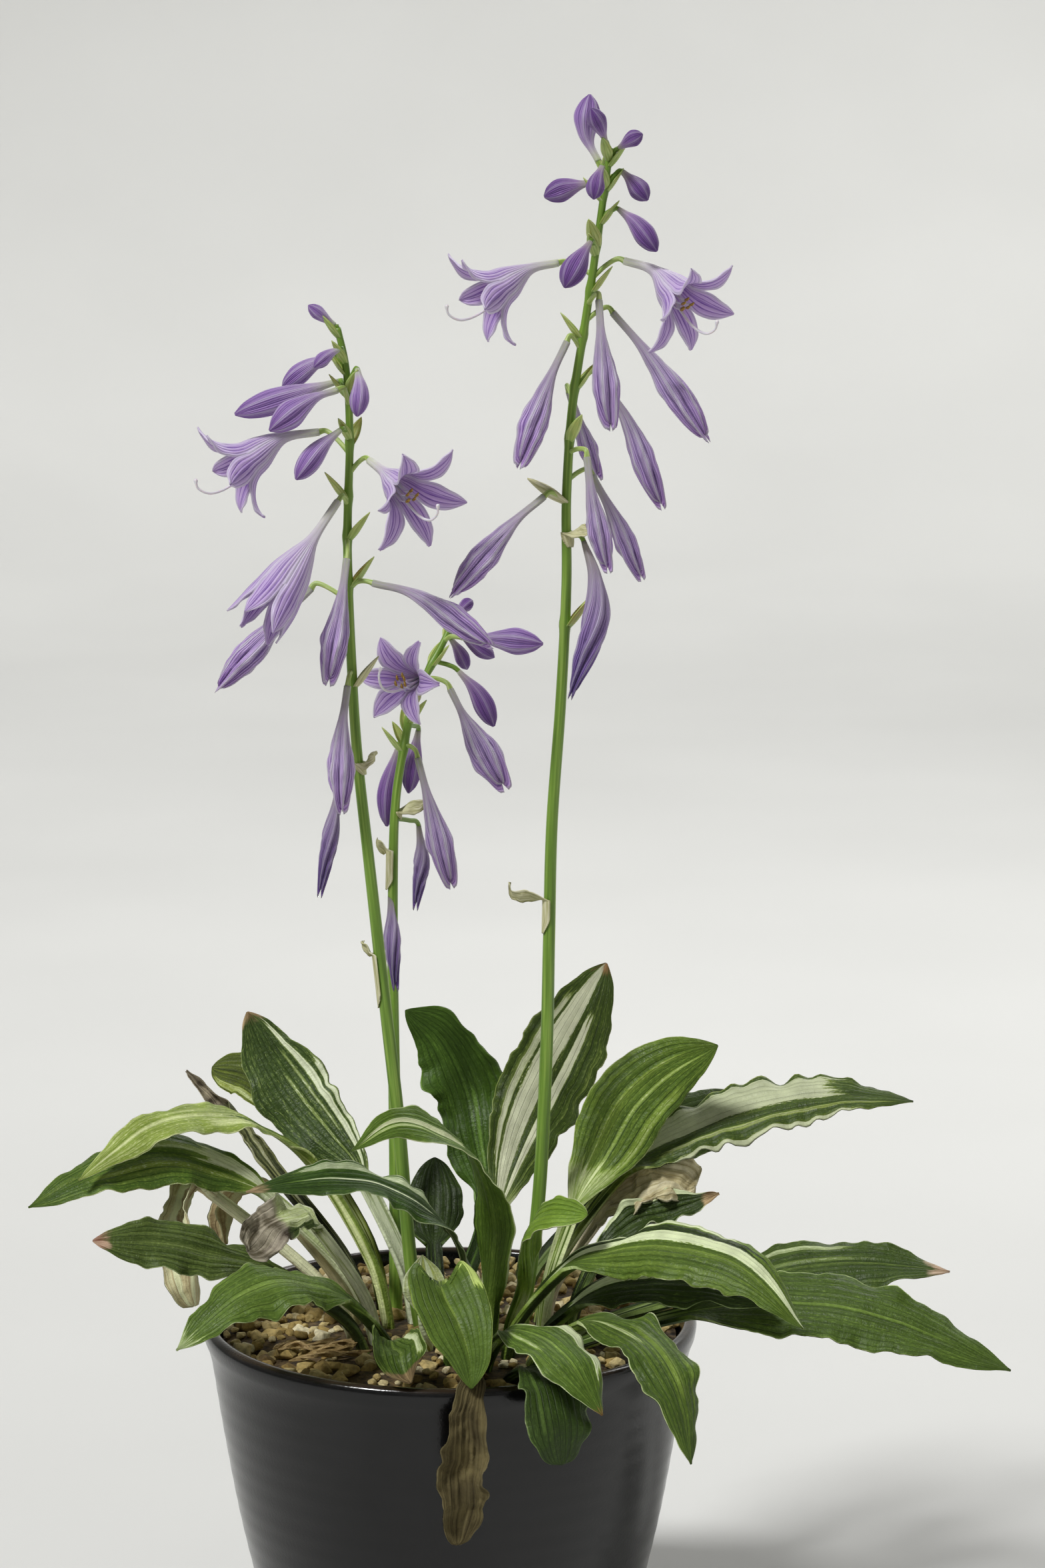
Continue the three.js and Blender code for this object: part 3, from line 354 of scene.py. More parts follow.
# %% Round sweep
SWEEP_PROFILE = [(0.0, 0.0), (2.6, 0.0), (3.0, 0.04), (3.35, 0.16), (3.65, 0.38), (3.85, 0.68),
                 (3.95, 1.05), (4.0, 1.6), (4.0, 3.0)]     # m
bm = bmesh.new()
bmesh.ops.reverse_faces(bm, faces=spun(bm, SWEEP_PROFILE, 96, unit=1.0))
floor = mesh_object("sweep", bm)
floor.data.shade_smooth()
floor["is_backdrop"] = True
# Matt painted board: an even white that only takes the shadow.
board, tree, shader = new_material("painted board", Roughness=0.9)
place = add(tree, "TexCoord").outputs["Object"]
mottle = add(tree, "TexNoise", {"Vector": place, "Scale": 3.0})
tone = add(tree, "ValToRGB", {0: mottle}, stops=[(0.3, "#d9d9d6"), (0.7, "#dededb")])
join(tree, shader, Base_Color=tone)
floor.data.materials.append(board)

# %% Pale room and two lamps
world = bpy.data.worlds.new("studio")
world.use_nodes = True
world.node_tree.nodes["Background"].inputs["Color"].default_value = srgb("#f3f2ef")
world.node_tree.nodes["Background"].inputs["Strength"].default_value = 0.17
bpy.context.scene.world = world

PLANT_MIDDLE = Vector((0.02, -0.02, 0.28))


def lamp(name, kind, place, **settings):
    """A lamp at a place, turned to the middle of the plant."""
    lamp_data = bpy.data.lights.new(name, kind)
    for key, value in settings.items():
        setattr(lamp_data, key, value)
    made = bpy.data.objects.new(name, lamp_data)
    made.location = place
    made.rotation_euler = (PLANT_MIDDLE - Vector(place)).to_track_quat("-Z", "Y").to_euler()
    bpy.context.scene.collection.objects.link(made)


lamp("key", "SUN", (-1.1, -1.0, 2.3), energy=2.5, angle=math.radians(12))
lamp("rim", "AREA", (0.5, 1.2, 1.3), energy=7.0, size=0.8)
print("camera, sweep and two lamps are in place")

# %% [markdown]
# ## The pot
# A round stoneware pot, thrown on a wheel and dipped in a black glaze. Its wall is one profile
# spun about the axis, as the potter's hand does it; faint rings from the fingers are part of
# the profile, a few millimetres apart. Three drain holes are cut through the floor afterwards.

# %% Black glaze
# Glossy black tenmoku-like glaze: nearly no colour of its own, with sharp lamp reflections,
# and a warmer, browner tone where it runs thin over the edge of the rim.
glaze, tree, shader = new_material("black pot glaze", IOR=1.48)
place = add(tree, "TexCoord").outputs["Object"]
heights = add(tree, "SeparateXYZ", {0: place})
cloud = add(tree, "TexNoise", {"Vector": place, "Scale": 60.0, "Detail": 4.0})
speck = add(tree, "TexNoise", {"Vector": place, "Scale": 900.0, "Detail": 2.0})
body = add(tree, "ValToRGB", {0: cloud}, stops=[(0.35, "#050506"), (0.7, "#0d0d0f")])
high = add(tree, "Math", {0: cloud, 1: 0.0016, 2: heights.outputs[2]}, operation="MULTIPLY_ADD")
thin = add(tree, "MapRange", {0: high, 1: 0.1392, 2: 0.1408}, **SOFT)
worn = add(tree, "Mix", {0: thin, MIX_A: body, MIX_B: srgb("#33291f")}, **COLOUR)
gloss = add(tree, "MapRange", {0: cloud, 3: 0.12, 4: 0.24})
ripple = add(tree, "Bump", {"Strength": 0.12, "Distance": 0.0004, "Height": speck})
join(tree, shader, Base_Color=worn.outputs[MIX_RESULT], Roughness=gloss, Normal=ripple)

# %% The thrown wall
RING_SPACING, RING_DEPTH = 7.5, 0.05      # mm, the finger rings
RING_DRIFT, RING_CHANGE = 1.3, 17         # radians of unevenness, and mm of height from one to the next
RINGS_FROM, RINGS_TO = 6, 134             # mm of height, where they fade out
WALL_STEPS, SPIN_STEPS = 80, 128
# Radius and height of each part of the wall, in mm.
FOOT = [(0, 0), (56, 0), (59, 0.6), (60.4, 1.6)]
SIDE = [(61, 3), (69, 32), (77, 66), (83, 100), (87, 126), (89.5, 134)]
RIM = [(89.9, 136.4), (90.0, 137.6), (89.6, 138.9), (88.7, 139.8), (87.3, 140), (86.1, 139.8), (85.4, 139)]
INSIDE = [(84.3, 136), (81, 114), (77.5, 92), (73.6, 73), (69.5, 56), (64.8, 38), (59.5, 20), (56, 8),
          (0, 8)]


def ringed_side():
    """The side from foot to rim, with the rings that the potter's fingers left."""
    side = Line([(radius, 0, height) for radius, height in SIDE])
    made = []
    for i in range(WALL_STEPS + 1):
        p = side.at(side.length * i / WALL_STEPS)
        unsteady = RING_DRIFT * noise.noise(Vector((0, 0, p.z / RING_CHANGE)))
        hand = math.sin(2 * math.pi * p.z / RING_SPACING + unsteady)
        fade = smooth((p.z - RINGS_FROM) / 12) * smooth((RINGS_TO - p.z) / 6)
        made.append((p.x + RING_DEPTH * hand * fade, p.z))
    return made


bm = bmesh.new()
spun(bm, [*FOOT, *ringed_side(), *RIM, *INSIDE], SPIN_STEPS)
wall = mesh_object("thrown_wall", bm)

# %% Drain holes, cut with three drills
DRAIN_RADIUS, DRAIN_CIRCLE = 6.0, 34.0
bm = bmesh.new()
for turn in (30, 150, 270):
    angle = math.radians(turn)
    spot = Vector((DRAIN_CIRCLE * math.cos(angle), DRAIN_CIRCLE * math.sin(angle), 4))
    bmesh.ops.create_cone(bm, cap_ends=True, segments=32, radius1=DRAIN_RADIUS * MM,
                          radius2=DRAIN_RADIUS * MM, depth=24 * MM, matrix=Matrix.Translation(spot * MM))
drills = mesh_object("drills", bm)
cut = wall.modifiers.new("drain holes", "BOOLEAN")
cut.operation, cut.solver, cut.object = "DIFFERENCE", "EXACT", drills
drilled = bpy.data.meshes.new_from_object(wall.evaluated_get(bpy.context.evaluated_depsgraph_get()))
for one in (drills, wall):
    bpy.data.objects.remove(one)
bm = new_mesh()
bm.from_mesh(drilled)
bpy.data.meshes.remove(drilled)
pot = finished("pot_thrown", bm, [glaze], "pot", "black_glaze")
pot.data.set_sharp_from_angle(angle=math.radians(40))
print("pot:", len(pot.data.polygons), "faces")

# %% [markdown]
# ## The leaves, as lines
# Thirty-two leaves stand in this clump, and each is written down once, in mm and degrees.
# `base` is where its stalk leaves the soil, `neck` an extra point of the stalk, and `path` runs
# from the start of the blade to its tip. `width` is the full width of the blade, `roll` turns it
# about its own length at the start and at the tip, `fold` is the V of its two halves, `droop`
# lets the margins fall, and `wave` and `waves` are the height and number of its ripples.
# `shape` sets how fast the blade widens from its base and narrows to its tip, `scallop` and
# `frill` are the margin's small waves, in the plane and across it, and `ribs` the height of the
# ribs. Withered leaves have more `furl`, which turns the margins in, `crumple`, which dents the
# blade, and `crush`, the size of its creases. `lobes` is how far the two round lobes of a
# heart-shaped base reach back. What a leaf leaves out, it has from PLAIN_LEAF.

# %% Leaf table
STALK_FOOT = 131.0                        # mm, a little inside the soil
KNEE_OUT, KNEE_UP = 0.22, 0.45            # where a stalk starts to lean, as shares of its rise
PLAIN_LEAF = dict(neck=[], shape=(0.72, 0.92), scallop=1.1, frill=0.7, furl=0, crumple=0.7, crush=0.0,
                  lobes=0, ribs=0.24)
LEAVES = {
    "left_long": dict(
        slot="cream_green_leaf", base=(-27, -16),
        path=[(-68, -10, 189), (-96, -20, 205), (-120, -32, 204), (-148, -45, 193)], width=25,
        roll=(40, 30), fold=8, droop=0.3, wave=1.6, waves=2.5, scallop=0.9, frill=0.9),
    "left_arch": dict(
        slot="cream_green_leaf", base=(-22, -8),
        path=[(-50, 6, 194), (-69, -1, 211), (-84, -10, 217), (-105, -25, 217), (-130, -45, 203)],
        width=19, roll=(-10, 45), fold=10, droop=0.2, wave=1.5, waves=3, scallop=1.0, frill=0.9),
    "left_upright": dict(
        slot="deep_green_leaf", base=(-13, -1),
        path=[(-32, 8, 190), (-44, 15, 203), (-55, 23, 214), (-65, 30, 227), (-75, 35, 245)], width=28,
        roll=(60, 60), fold=8, droop=0.15, wave=1.6, waves=3, shape=(0.78, 0.75), scallop=1.5),
    "left_back": dict(
        slot="fresh_green_leaf", base=(-24, 14), path=[(-62, 41, 205), (-75, 52, 217), (-90, 60, 218)],
        width=21, roll=(25, 45), fold=8, droop=0.2, wave=1.2, waves=2, shape=(0.8, 0.6), scallop=1.2),
    "left_thin": dict(
        slot="deep_green_leaf", base=(-31, 6), path=[(-66, 30, 187), (-78, 44, 199), (-99, 57, 217)],
        width=11, roll=(40, 70), fold=20, droop=0.1, wave=1.2, waves=2, scallop=1.8, furl=110,
        crumple=2.2, crush=1.6),
    "left_mid": dict(
        slot="deep_green_leaf", base=(14, -12),
        path=[(9, -20, 155), (2, -31, 178), (-9, -39, 192), (-23, -44, 201), (-38, -50, 205),
              (-55, -56, 205), (-70, -61, 203)], width=20, roll=(5, 45), fold=10, droop=0.2, wave=1.5,
        waves=3, scallop=1.0, frill=1.0),
    "left_low": dict(
        slot="deep_green_leaf", base=(-29, -35),
        path=[(-64, -42, 169), (-85, -50, 178), (-101, -55, 183), (-124, -60, 185)], width=23,
        roll=(35, 45), fold=8, droop=0.2, wave=1.6, waves=3, shape=(0.8, 0.78), scallop=1.9, frill=1.2),
    "left_front": dict(
        slot="fresh_green_leaf", base=(-20, -45),
        path=[(-36, -60, 163), (-52, -75, 175), (-71, -89, 174), (-92, -101, 158)], width=25,
        roll=(20, 30), fold=6, droop=0.3, wave=2.2, waves=2.5, shape=(0.7, 0.95), scallop=1.7, frill=1.4),
    "left_dead": dict(
        slot="withered_leaf", base=(-33, -24),
        path=[(-86, -5, 186), (-92, -12, 191), (-94.5, -21, 186), (-95, -31, 171), (-91, -37, 154)],
        width=19, roll=(-20, 70), fold=22, droop=0.2, wave=1.6, waves=2, shape=(0.3, 0.3), scallop=1.6,
        furl=40, crumple=1.6, crush=1.3),
    "left_dead_inner": dict(
        slot="withered_leaf", base=(-34, -5),
        path=[(-64, 8, 178), (-73, 10, 184), (-80, 9, 178), (-82, 8, 164)], width=14, roll=(-30, 60),
        fold=25, droop=0.2, wave=1.5, waves=1.5, shape=(0.5, 0.4), scallop=1.4, furl=80, crumple=1.6,
        crush=1.3),
    "left_grey": dict(
        slot="withered_leaf", base=(-26, -27),
        path=[(-47, -40, 184), (-54, -44, 189), (-62, -49, 187), (-71, -54, 178)], width=19,
        roll=(10, 75), fold=14, droop=0.3, wave=2.6, waves=3, shape=(0.6, 0.45), scallop=2.4, frill=2.2,
        furl=28, crumple=2.6, crush=2.4),
    "centre_arch": dict(
        slot="fresh_green_leaf", base=(14, -36),
        path=[(15, -38, 156), (16, -42, 188), (9, -50, 212), (-4, -60, 224), (-18, -71, 230),
              (-32, -84, 224)], width=23, roll=(-8, 52), fold=14, droop=0.15, wave=1.3, waves=3, frill=0.9),
    "back_dark": dict(
        slot="deep_green_leaf", base=(3, 9),
        path=[(13, 24, 170), (9, 39, 197), (5, 48, 214), (-4, 52, 231), (-17, 50, 242)], width=26,
        roll=(40, 15), fold=8, droop=0.15, wave=2.0, waves=3, shape=(0.95, 0.72), scallop=2.6, frill=2.2),
    "back_tall": dict(
        slot="cream_green_leaf", base=(14, 3),
        path=[(18, 14, 176), (25, 27, 197), (34, 42, 214), (47, 57, 236), (58, 68, 256)], width=33,
        roll=(-35, -40), fold=10, droop=0.15, wave=2.0, waves=3.5, shape=(0.85, 0.75), scallop=1.5,
        frill=1.3),
    "centre_dark": dict(
        slot="deep_green_leaf", base=(-4, -4), path=[(-6, 10, 163), (-6, 24, 178), (-6, 34, 190)],
        width=22, roll=(0, 0), fold=12, droop=0.2, wave=1.5, waves=2, shape=(0.6, 0.7)),
    "centre_pale": dict(
        slot="cream_green_leaf", base=(-9, -34), path=[(-8, -38, 153), (-8, -41, 162), (-9, -40, 174)],
        width=15, roll=(170, 170), fold=10, droop=0.1, wave=0.6, waves=1),
    "heart": dict(
        slot="fresh_green_leaf", base=(2, -50), neck=[(-2, -62, 168)],
        path=[(-2, -73, 171), (0, -80, 169.5), (4, -88, 164), (8, -94, 154), (9, -97, 143)], width=28,
        roll=(0, -6), fold=22, droop=0.1, wave=0.8, waves=1, shape=(0.28, 0.78), scallop=0.5, frill=0.3,
        lobes=13),
    "front_curl": dict(
        slot="fresh_green_leaf", base=(-17, -56),
        path=[(-20, -66, 149), (-17, -78, 150), (-12, -90, 143)], width=24, roll=(10, -20), fold=20,
        droop=0.2, wave=2.2, waves=2, shape=(0.6, 0.6), scallop=1.6, frill=1.6, furl=65, crumple=1.8,
        crush=0.9),
    "front_dead": dict(
        slot="withered_leaf", base=(7, -64),
        path=[(10, -78, 143), (9, -92, 144), (7, -98, 130), (6, -98, 108), (5, -96, 86)], width=17,
        roll=(0, 0), fold=14, droop=0.2, wave=0.8, waves=1.5, shape=(1.0, 0.5), scallop=2.3, frill=2.0,
        furl=40, crumple=2.2, crush=1.6, ribs=0.36),
    "right_broad": dict(
        slot="fresh_green_leaf", base=(34, -15),
        path=[(46, -4, 183), (57, 6, 202), (66, 10, 217), (80, 9, 230), (97, 3, 240)], width=30,
        roll=(-55, -60), fold=6, droop=0.15, wave=1.4, waves=2, shape=(0.78, 0.8), scallop=0.7),
    "right_white": dict(
        slot="cream_green_leaf", base=(32, -3),
        path=[(63, 10, 190), (88, 16, 205), (112, 18, 213), (141, 17, 218), (169, 12, 217)], width=27,
        roll=(-35, -30), fold=8, droop=0.2, wave=1.8, waves=4, frill=2.4),
    "right_back": dict(
        slot="deep_green_leaf", base=(24, 10), path=[(74, 42, 188), (89, 54, 197), (112, 66, 206)],
        width=26, roll=(-40, -50), fold=8, droop=0.2, wave=1.4, waves=2),
    "right_dead": dict(
        slot="withered_leaf", base=(35, 6),
        path=[(54, 10, 172), (64, 9, 183), (76, 9, 189), (91, 9, 187)], width=22, roll=(-35, -50),
        fold=14, droop=0.3, wave=2.4, waves=3, shape=(0.45, 0.25), scallop=2.2, frill=2.4, furl=20,
        crumple=2.6, crush=2.6),
    "right_wavy": dict(
        slot="deep_green_leaf", base=(44, -12),
        path=[(56, -6, 166), (68, -3, 176), (82, 0, 179), (98, 2, 185)], width=16, roll=(-30, -50),
        fold=16, droop=0.2, wave=2.0, waves=3, scallop=1.8, frill=2.6, furl=45, crumple=1.4, crush=0.5),
    "right_stripe": dict(
        slot="cream_green_leaf", base=(21, -42),
        path=[(42, -52, 172), (58, -62, 182), (78, -78, 188), (101, -96, 186), (122, -111, 169)],
        width=27, roll=(-30, -30), fold=6, droop=0.3, wave=2.0, waves=2.5, scallop=1.3, frill=1.2),
    "right_mid": dict(
        slot="deep_green_leaf", base=(31, -33),
        path=[(46, -40, 155), (60, -46, 165), (86, -56, 169), (114, -64, 163)], width=22, roll=(-30, -40),
        fold=8, droop=0.2, wave=1.8, waves=3, frill=1.2),
    "right_far_upper": dict(
        slot="deep_green_leaf", base=(42, -23),
        path=[(92, -22, 155), (120, -25, 164), (150, -29, 168), (179, -33, 166)], width=26,
        roll=(-35, -30), fold=6, droop=0.2, wave=1.6, waves=2.5, scallop=1.4, frill=1.1),
    "right_far_lower": dict(
        slot="fresh_green_leaf", base=(35, -44),
        path=[(86, -46, 154), (120, -54, 161), (154, -63, 158), (197, -73, 142)], width=30,
        roll=(-35, -35), fold=6, droop=0.2, wave=1.6, waves=3, scallop=1.4, frill=1.1),
    "right_down": dict(
        slot="fresh_green_leaf", base=(29, -54),
        path=[(48, -66, 156), (62, -82, 160), (74, -97, 154), (81, -108, 140), (84, -112, 121)], width=25,
        roll=(-10, -5), fold=6, droop=0.25, wave=1.8, waves=3, scallop=1.6, frill=1.5),
    "front_right": dict(
        slot="fresh_green_leaf", base=(13, -56),
        path=[(21, -68, 153), (31, -82, 158), (43, -97, 153), (54, -107, 137)], width=26, roll=(-5, -5),
        fold=8, droop=0.25, wave=1.4, waves=2.5, scallop=1.2, frill=1.0),
    "front_low": dict(
        slot="deep_green_leaf", base=(22, -62),
        path=[(29, -76, 142), (35, -88, 144), (39, -99, 134), (40, -101, 117)], width=24, roll=(0, 0),
        fold=6, droop=0.2, wave=1.8, waves=2.5, shape=(0.55, 0.4), scallop=1.6, frill=1.3),
    "green_curl": dict(
        slot="fresh_green_leaf", base=(22, -30),
        path=[(28, -36, 162), (29, -43, 183), (35, -53, 193), (49, -65, 196)], width=17, roll=(-10, -55),
        fold=14, droop=0.3, wave=1.2, waves=1.5, shape=(0.7, 0.6), scallop=0.8, frill=0.9),
}
LEAVES = {name: {**PLAIN_LEAF, **leaf} for name, leaf in LEAVES.items()}
print(len(LEAVES), "leaves")


def leaf_line(leaf):
    """A stalk goes straight out of its hole, then leans over along the line to the blade."""
    start = Vector((*leaf["base"], STALK_FOOT))
    rise = Vector([*leaf["neck"], *leaf["path"]][0]) - start
    knee = start + Vector((rise.x * KNEE_OUT, rise.y * KNEE_OUT, rise.z * KNEE_UP))
    return Line([start, knee, *leaf["neck"], *leaf["path"]])


# %% [markdown]
# ## The fill of the pot
# Potting grit: broken, angular pumice and burnt clay, 4 to 12 mm, heaped a little in the middle
# and dark with damp in the gaps. A broken stone is the tightest skin around a few random
# points, which is what `convex_hull` gives, and a small bevel takes the sharpness off. Each
# stone carries its own tint as a face attribute, so that one material can colour them all.

# %% Grit, damp soil and straw
TINT_LAYER = "tint"
# Broken pumice and burnt clay: matt, pale ochre to brown, each stone its own tone, with pores that
# are darkened in their pits as painted shade.
grit, tree, shader = new_material("broken pumice grit", Roughness=0.92)
place = add(tree, "TexCoord").outputs["Object"]
tint = add(tree, "Attribute", attribute_name=TINT_LAYER)
pores = add(tree, "TexNoise", {"Vector": place, "Scale": 650.0, "Detail": 4.0})
stain = add(tree, "TexNoise", {"Vector": place, "Scale": 160.0, "Detail": 3.0})
mixed = add(tree, "Math", {0: stain, 1: 0.3, 2: tint.outputs["Fac"]}, operation="MULTIPLY_ADD")
earth = add(tree, "ValToRGB", {0: mixed}, stops=[
    (0.15, "#5a4727"), (0.35, "#927a42"), (0.6, "#b9a163"), (0.82, "#d2c08b"), (1.0, "#e6dbb6")])
# The pits of the pore bump are darkened: painted shade in the pores.
painted_pore_shade = add(tree, "MapRange", {0: pores, 1: 0.3, 2: 0.6, 3: 0.6})
shade = add(tree, "Mix", {0: 1.0, MIX_A: earth, MIX_B: painted_pore_shade}, **TINTED)
relief = add(tree, "Bump", {"Strength": 0.6, "Distance": 0.0006, "Height": pores})
join(tree, shader, Base_Color=shade.outputs[MIX_RESULT], Normal=relief)

# Damp soil under the stones: dark, crumbly, seen only in the gaps.
soil, tree, shader = new_material("damp soil", Roughness=0.85)
place = add(tree, "TexCoord").outputs["Object"]
crumb = add(tree, "TexNoise", {"Vector": place, "Scale": 400.0, "Detail": 5.0})
peat = add(tree, "ValToRGB", {0: crumb}, stops=[(0.35, "#2a2013"), (0.7, "#6a5634")])
relief = add(tree, "Bump", {"Strength": 0.8, "Distance": 0.001, "Height": crumb})
join(tree, shader, Base_Color=peat, Normal=relief)

# Dry shreds of old leaf: straw with darker fibres along it, every 0.4 mm.
straw, tree, shader = new_material("dry leaf shreds", Roughness=0.7)
uv = add(tree, "UVMap", uv_map=UV_NAME)
fibre = drawn_noise(tree, uv, 6.0, 2.0, 3.0)
hay = add(tree, "ValToRGB", {0: fibre}, stops=[(0.3, "#5c4825"), (0.5, "#93794a"), (0.7, "#c0ab78")])
relief = add(tree, "Bump", {"Strength": 0.5, "Distance": 0.0003, "Height": fibre})
join(tree, shader, Base_Color=hay, Normal=relief)

# %% Stones, from random points and their hulls
SOIL_TOP = 134.0
BED_LIFT, HEAP, HEAP_RADIUS = 2.0, 2.6, 90    # mm, the stones over the soil, the heap and its reach
STONE_COUNT, BED_RADIUS = 760, 81.5
SMALLEST_STONE, STONE_RANGE = 4.4, 7.6    # mm
STONE_BEVEL = 0.28                        # mm
STONE_POINTS, POINT_TURN = 9, 2.4         # points of a hull, radians from one to the next
GOLDEN_ANGLE = 2.39996                    # radians, spreads the stones evenly
STALK_GAP = 1.2                           # mm, kept free around each stalk
chance = random.Random(17)
stalk_places = [leaf_line(leaf).at_height(SOIL_TOP + 5) for leaf in LEAVES.values()]


def bed_height(radius):
    """The fill is heaped a little towards the middle."""
    return SOIL_TOP + BED_LIFT + HEAP * (1 - (radius / HEAP_RADIUS) ** 2)


def broken_stone(bm, centre, size, tint_value):
    """One angular stone: the hull of a few points on a squashed ball."""
    squash = Vector((1.0, chance.uniform(0.65, 0.95), chance.uniform(0.5, 0.8))) * (size / 2)
    turn = Matrix.Rotation(chance.uniform(0, 6.28), 3, "Z")
    turn = turn @ Matrix.Rotation(chance.uniform(-0.5, 0.5), 3, "X")
    points = []
    for i in range(STONE_POINTS):
        flat = 1 - 2 * (i + 0.5) / STONE_POINTS
        angle = i * POINT_TURN + chance.uniform(-0.5, 0.5)
        ring = math.sqrt(1 - flat * flat)
        ball = Vector((ring * math.cos(angle), ring * math.sin(angle), flat)) * chance.uniform(0.85, 1.1)
        points.append(bm.verts.new((centre + turn @ Vector(a * b for a, b in zip(ball, squash))) * MM))
    hull = bmesh.ops.convex_hull(bm, input=points)["geom"]
    bmesh.ops.delete(bm, geom=[point for point in points if not point.link_faces], context="VERTS")
    for item in hull:
        if isinstance(item, bmesh.types.BMFace):
            item[bm.faces.layers.float[TINT_LAYER]] = tint_value


bm = new_mesh()
bm.faces.layers.float.new(TINT_LAYER)
laid = 0
for i in range(STONE_COUNT):
    radius = BED_RADIUS * math.sqrt((i + 0.5) / STONE_COUNT)
    angle = i * GOLDEN_ANGLE + chance.uniform(-0.1, 0.1)
    size = SMALLEST_STONE + STONE_RANGE * chance.random() ** 2.0
    tint_value = chance.gauss(0.5, 0.22)
    lift = chance.uniform(-1.4, 1.2)
    height = bed_height(radius) + lift - size * 0.06
    where = Vector((radius * math.cos(angle), radius * math.sin(angle), height))
    if min((stalk.xy - where.xy).length for stalk in stalk_places) < size / 2 + STALK_GAP:
        continue
    broken_stone(bm, where, size, min(0.95, max(0.05, tint_value)))
    laid += 1
bmesh.ops.bevel(bm, geom=bm.edges[:], offset=STONE_BEVEL * MM, segments=1, profile=0.5, affect="EDGES",
                material=-1)
bmesh.ops.recalc_face_normals(bm, faces=bm.faces[:])

# %% Soil body under the stones, and straw on them
FILL_SIDE = [(0, 8.5), (55, 8.5), (58.8, 20.5), (68.6, 56), (76.5, 91), (82.6, SOIL_TOP - 1)]
FILL_CROWN = [(radius, bed_height(radius) - 1) for radius in (66, 50, 34, 17, 0)]
for face in spun(bm, FILL_SIDE + FILL_CROWN, 64):
    face.material_index = 1

STRAW_COUNT = 12
STRAW_MIDDLE = Vector((-50, -44, 0))      # where the shreds lie, in front of the left leaves


def flattened(angle, share):
    """A shred is flat, and turns over as it dries."""
    return 0.25 + 0.75 * abs(math.cos(angle + 5 * share)), 0.0


for i in range(STRAW_COUNT):
    middle = STRAW_MIDDLE + Vector((chance.uniform(-7, 17), chance.uniform(-7, 8), 0))
    heading = math.radians(chance.uniform(-5, 45))
    reach = chance.uniform(5, 10)
    run = Vector((math.cos(heading), math.sin(heading), 0)) * reach
    bend = Vector((-run.y, run.x, 0)) * chance.uniform(-0.4, 0.4)
    ends = []
    for point in (middle - run, middle + bend, middle + run):
        ends.append(point + UP * (bed_height(point.length) + chance.uniform(2.2, 4.2)))
    tube(bm, Line(ends), table((0, 0.3), (0.3, 1.3), (0.7, 1.1), (1, 0.2)), 6, 14, flattened, material=2)
bed = finished("grit_bed", bm, [grit, soil, straw], "gravel", "tan_grit", flat=True)
print("stones:", laid, "faces:", len(bed.data.polygons))

# %% [markdown]
# ## Hosta leaf, the living surface
# A hosta leaf has veins that leave the base side by side, bow out with the blade and meet
# again at the tip. In the UV map they are straight lines of constant u, so every streak and
# vein is drawn there. Variegation is white tissue in layers: where it reaches the surface the
# leaf is cream, where only a lower layer is white the green looks washed. One number, from
# dark green to cream, is built from a ground tone, long streaks, broad bands, the midrib and
# the margin, and a colour ramp turns it into those layers. Old tips dry to tan in the same way.

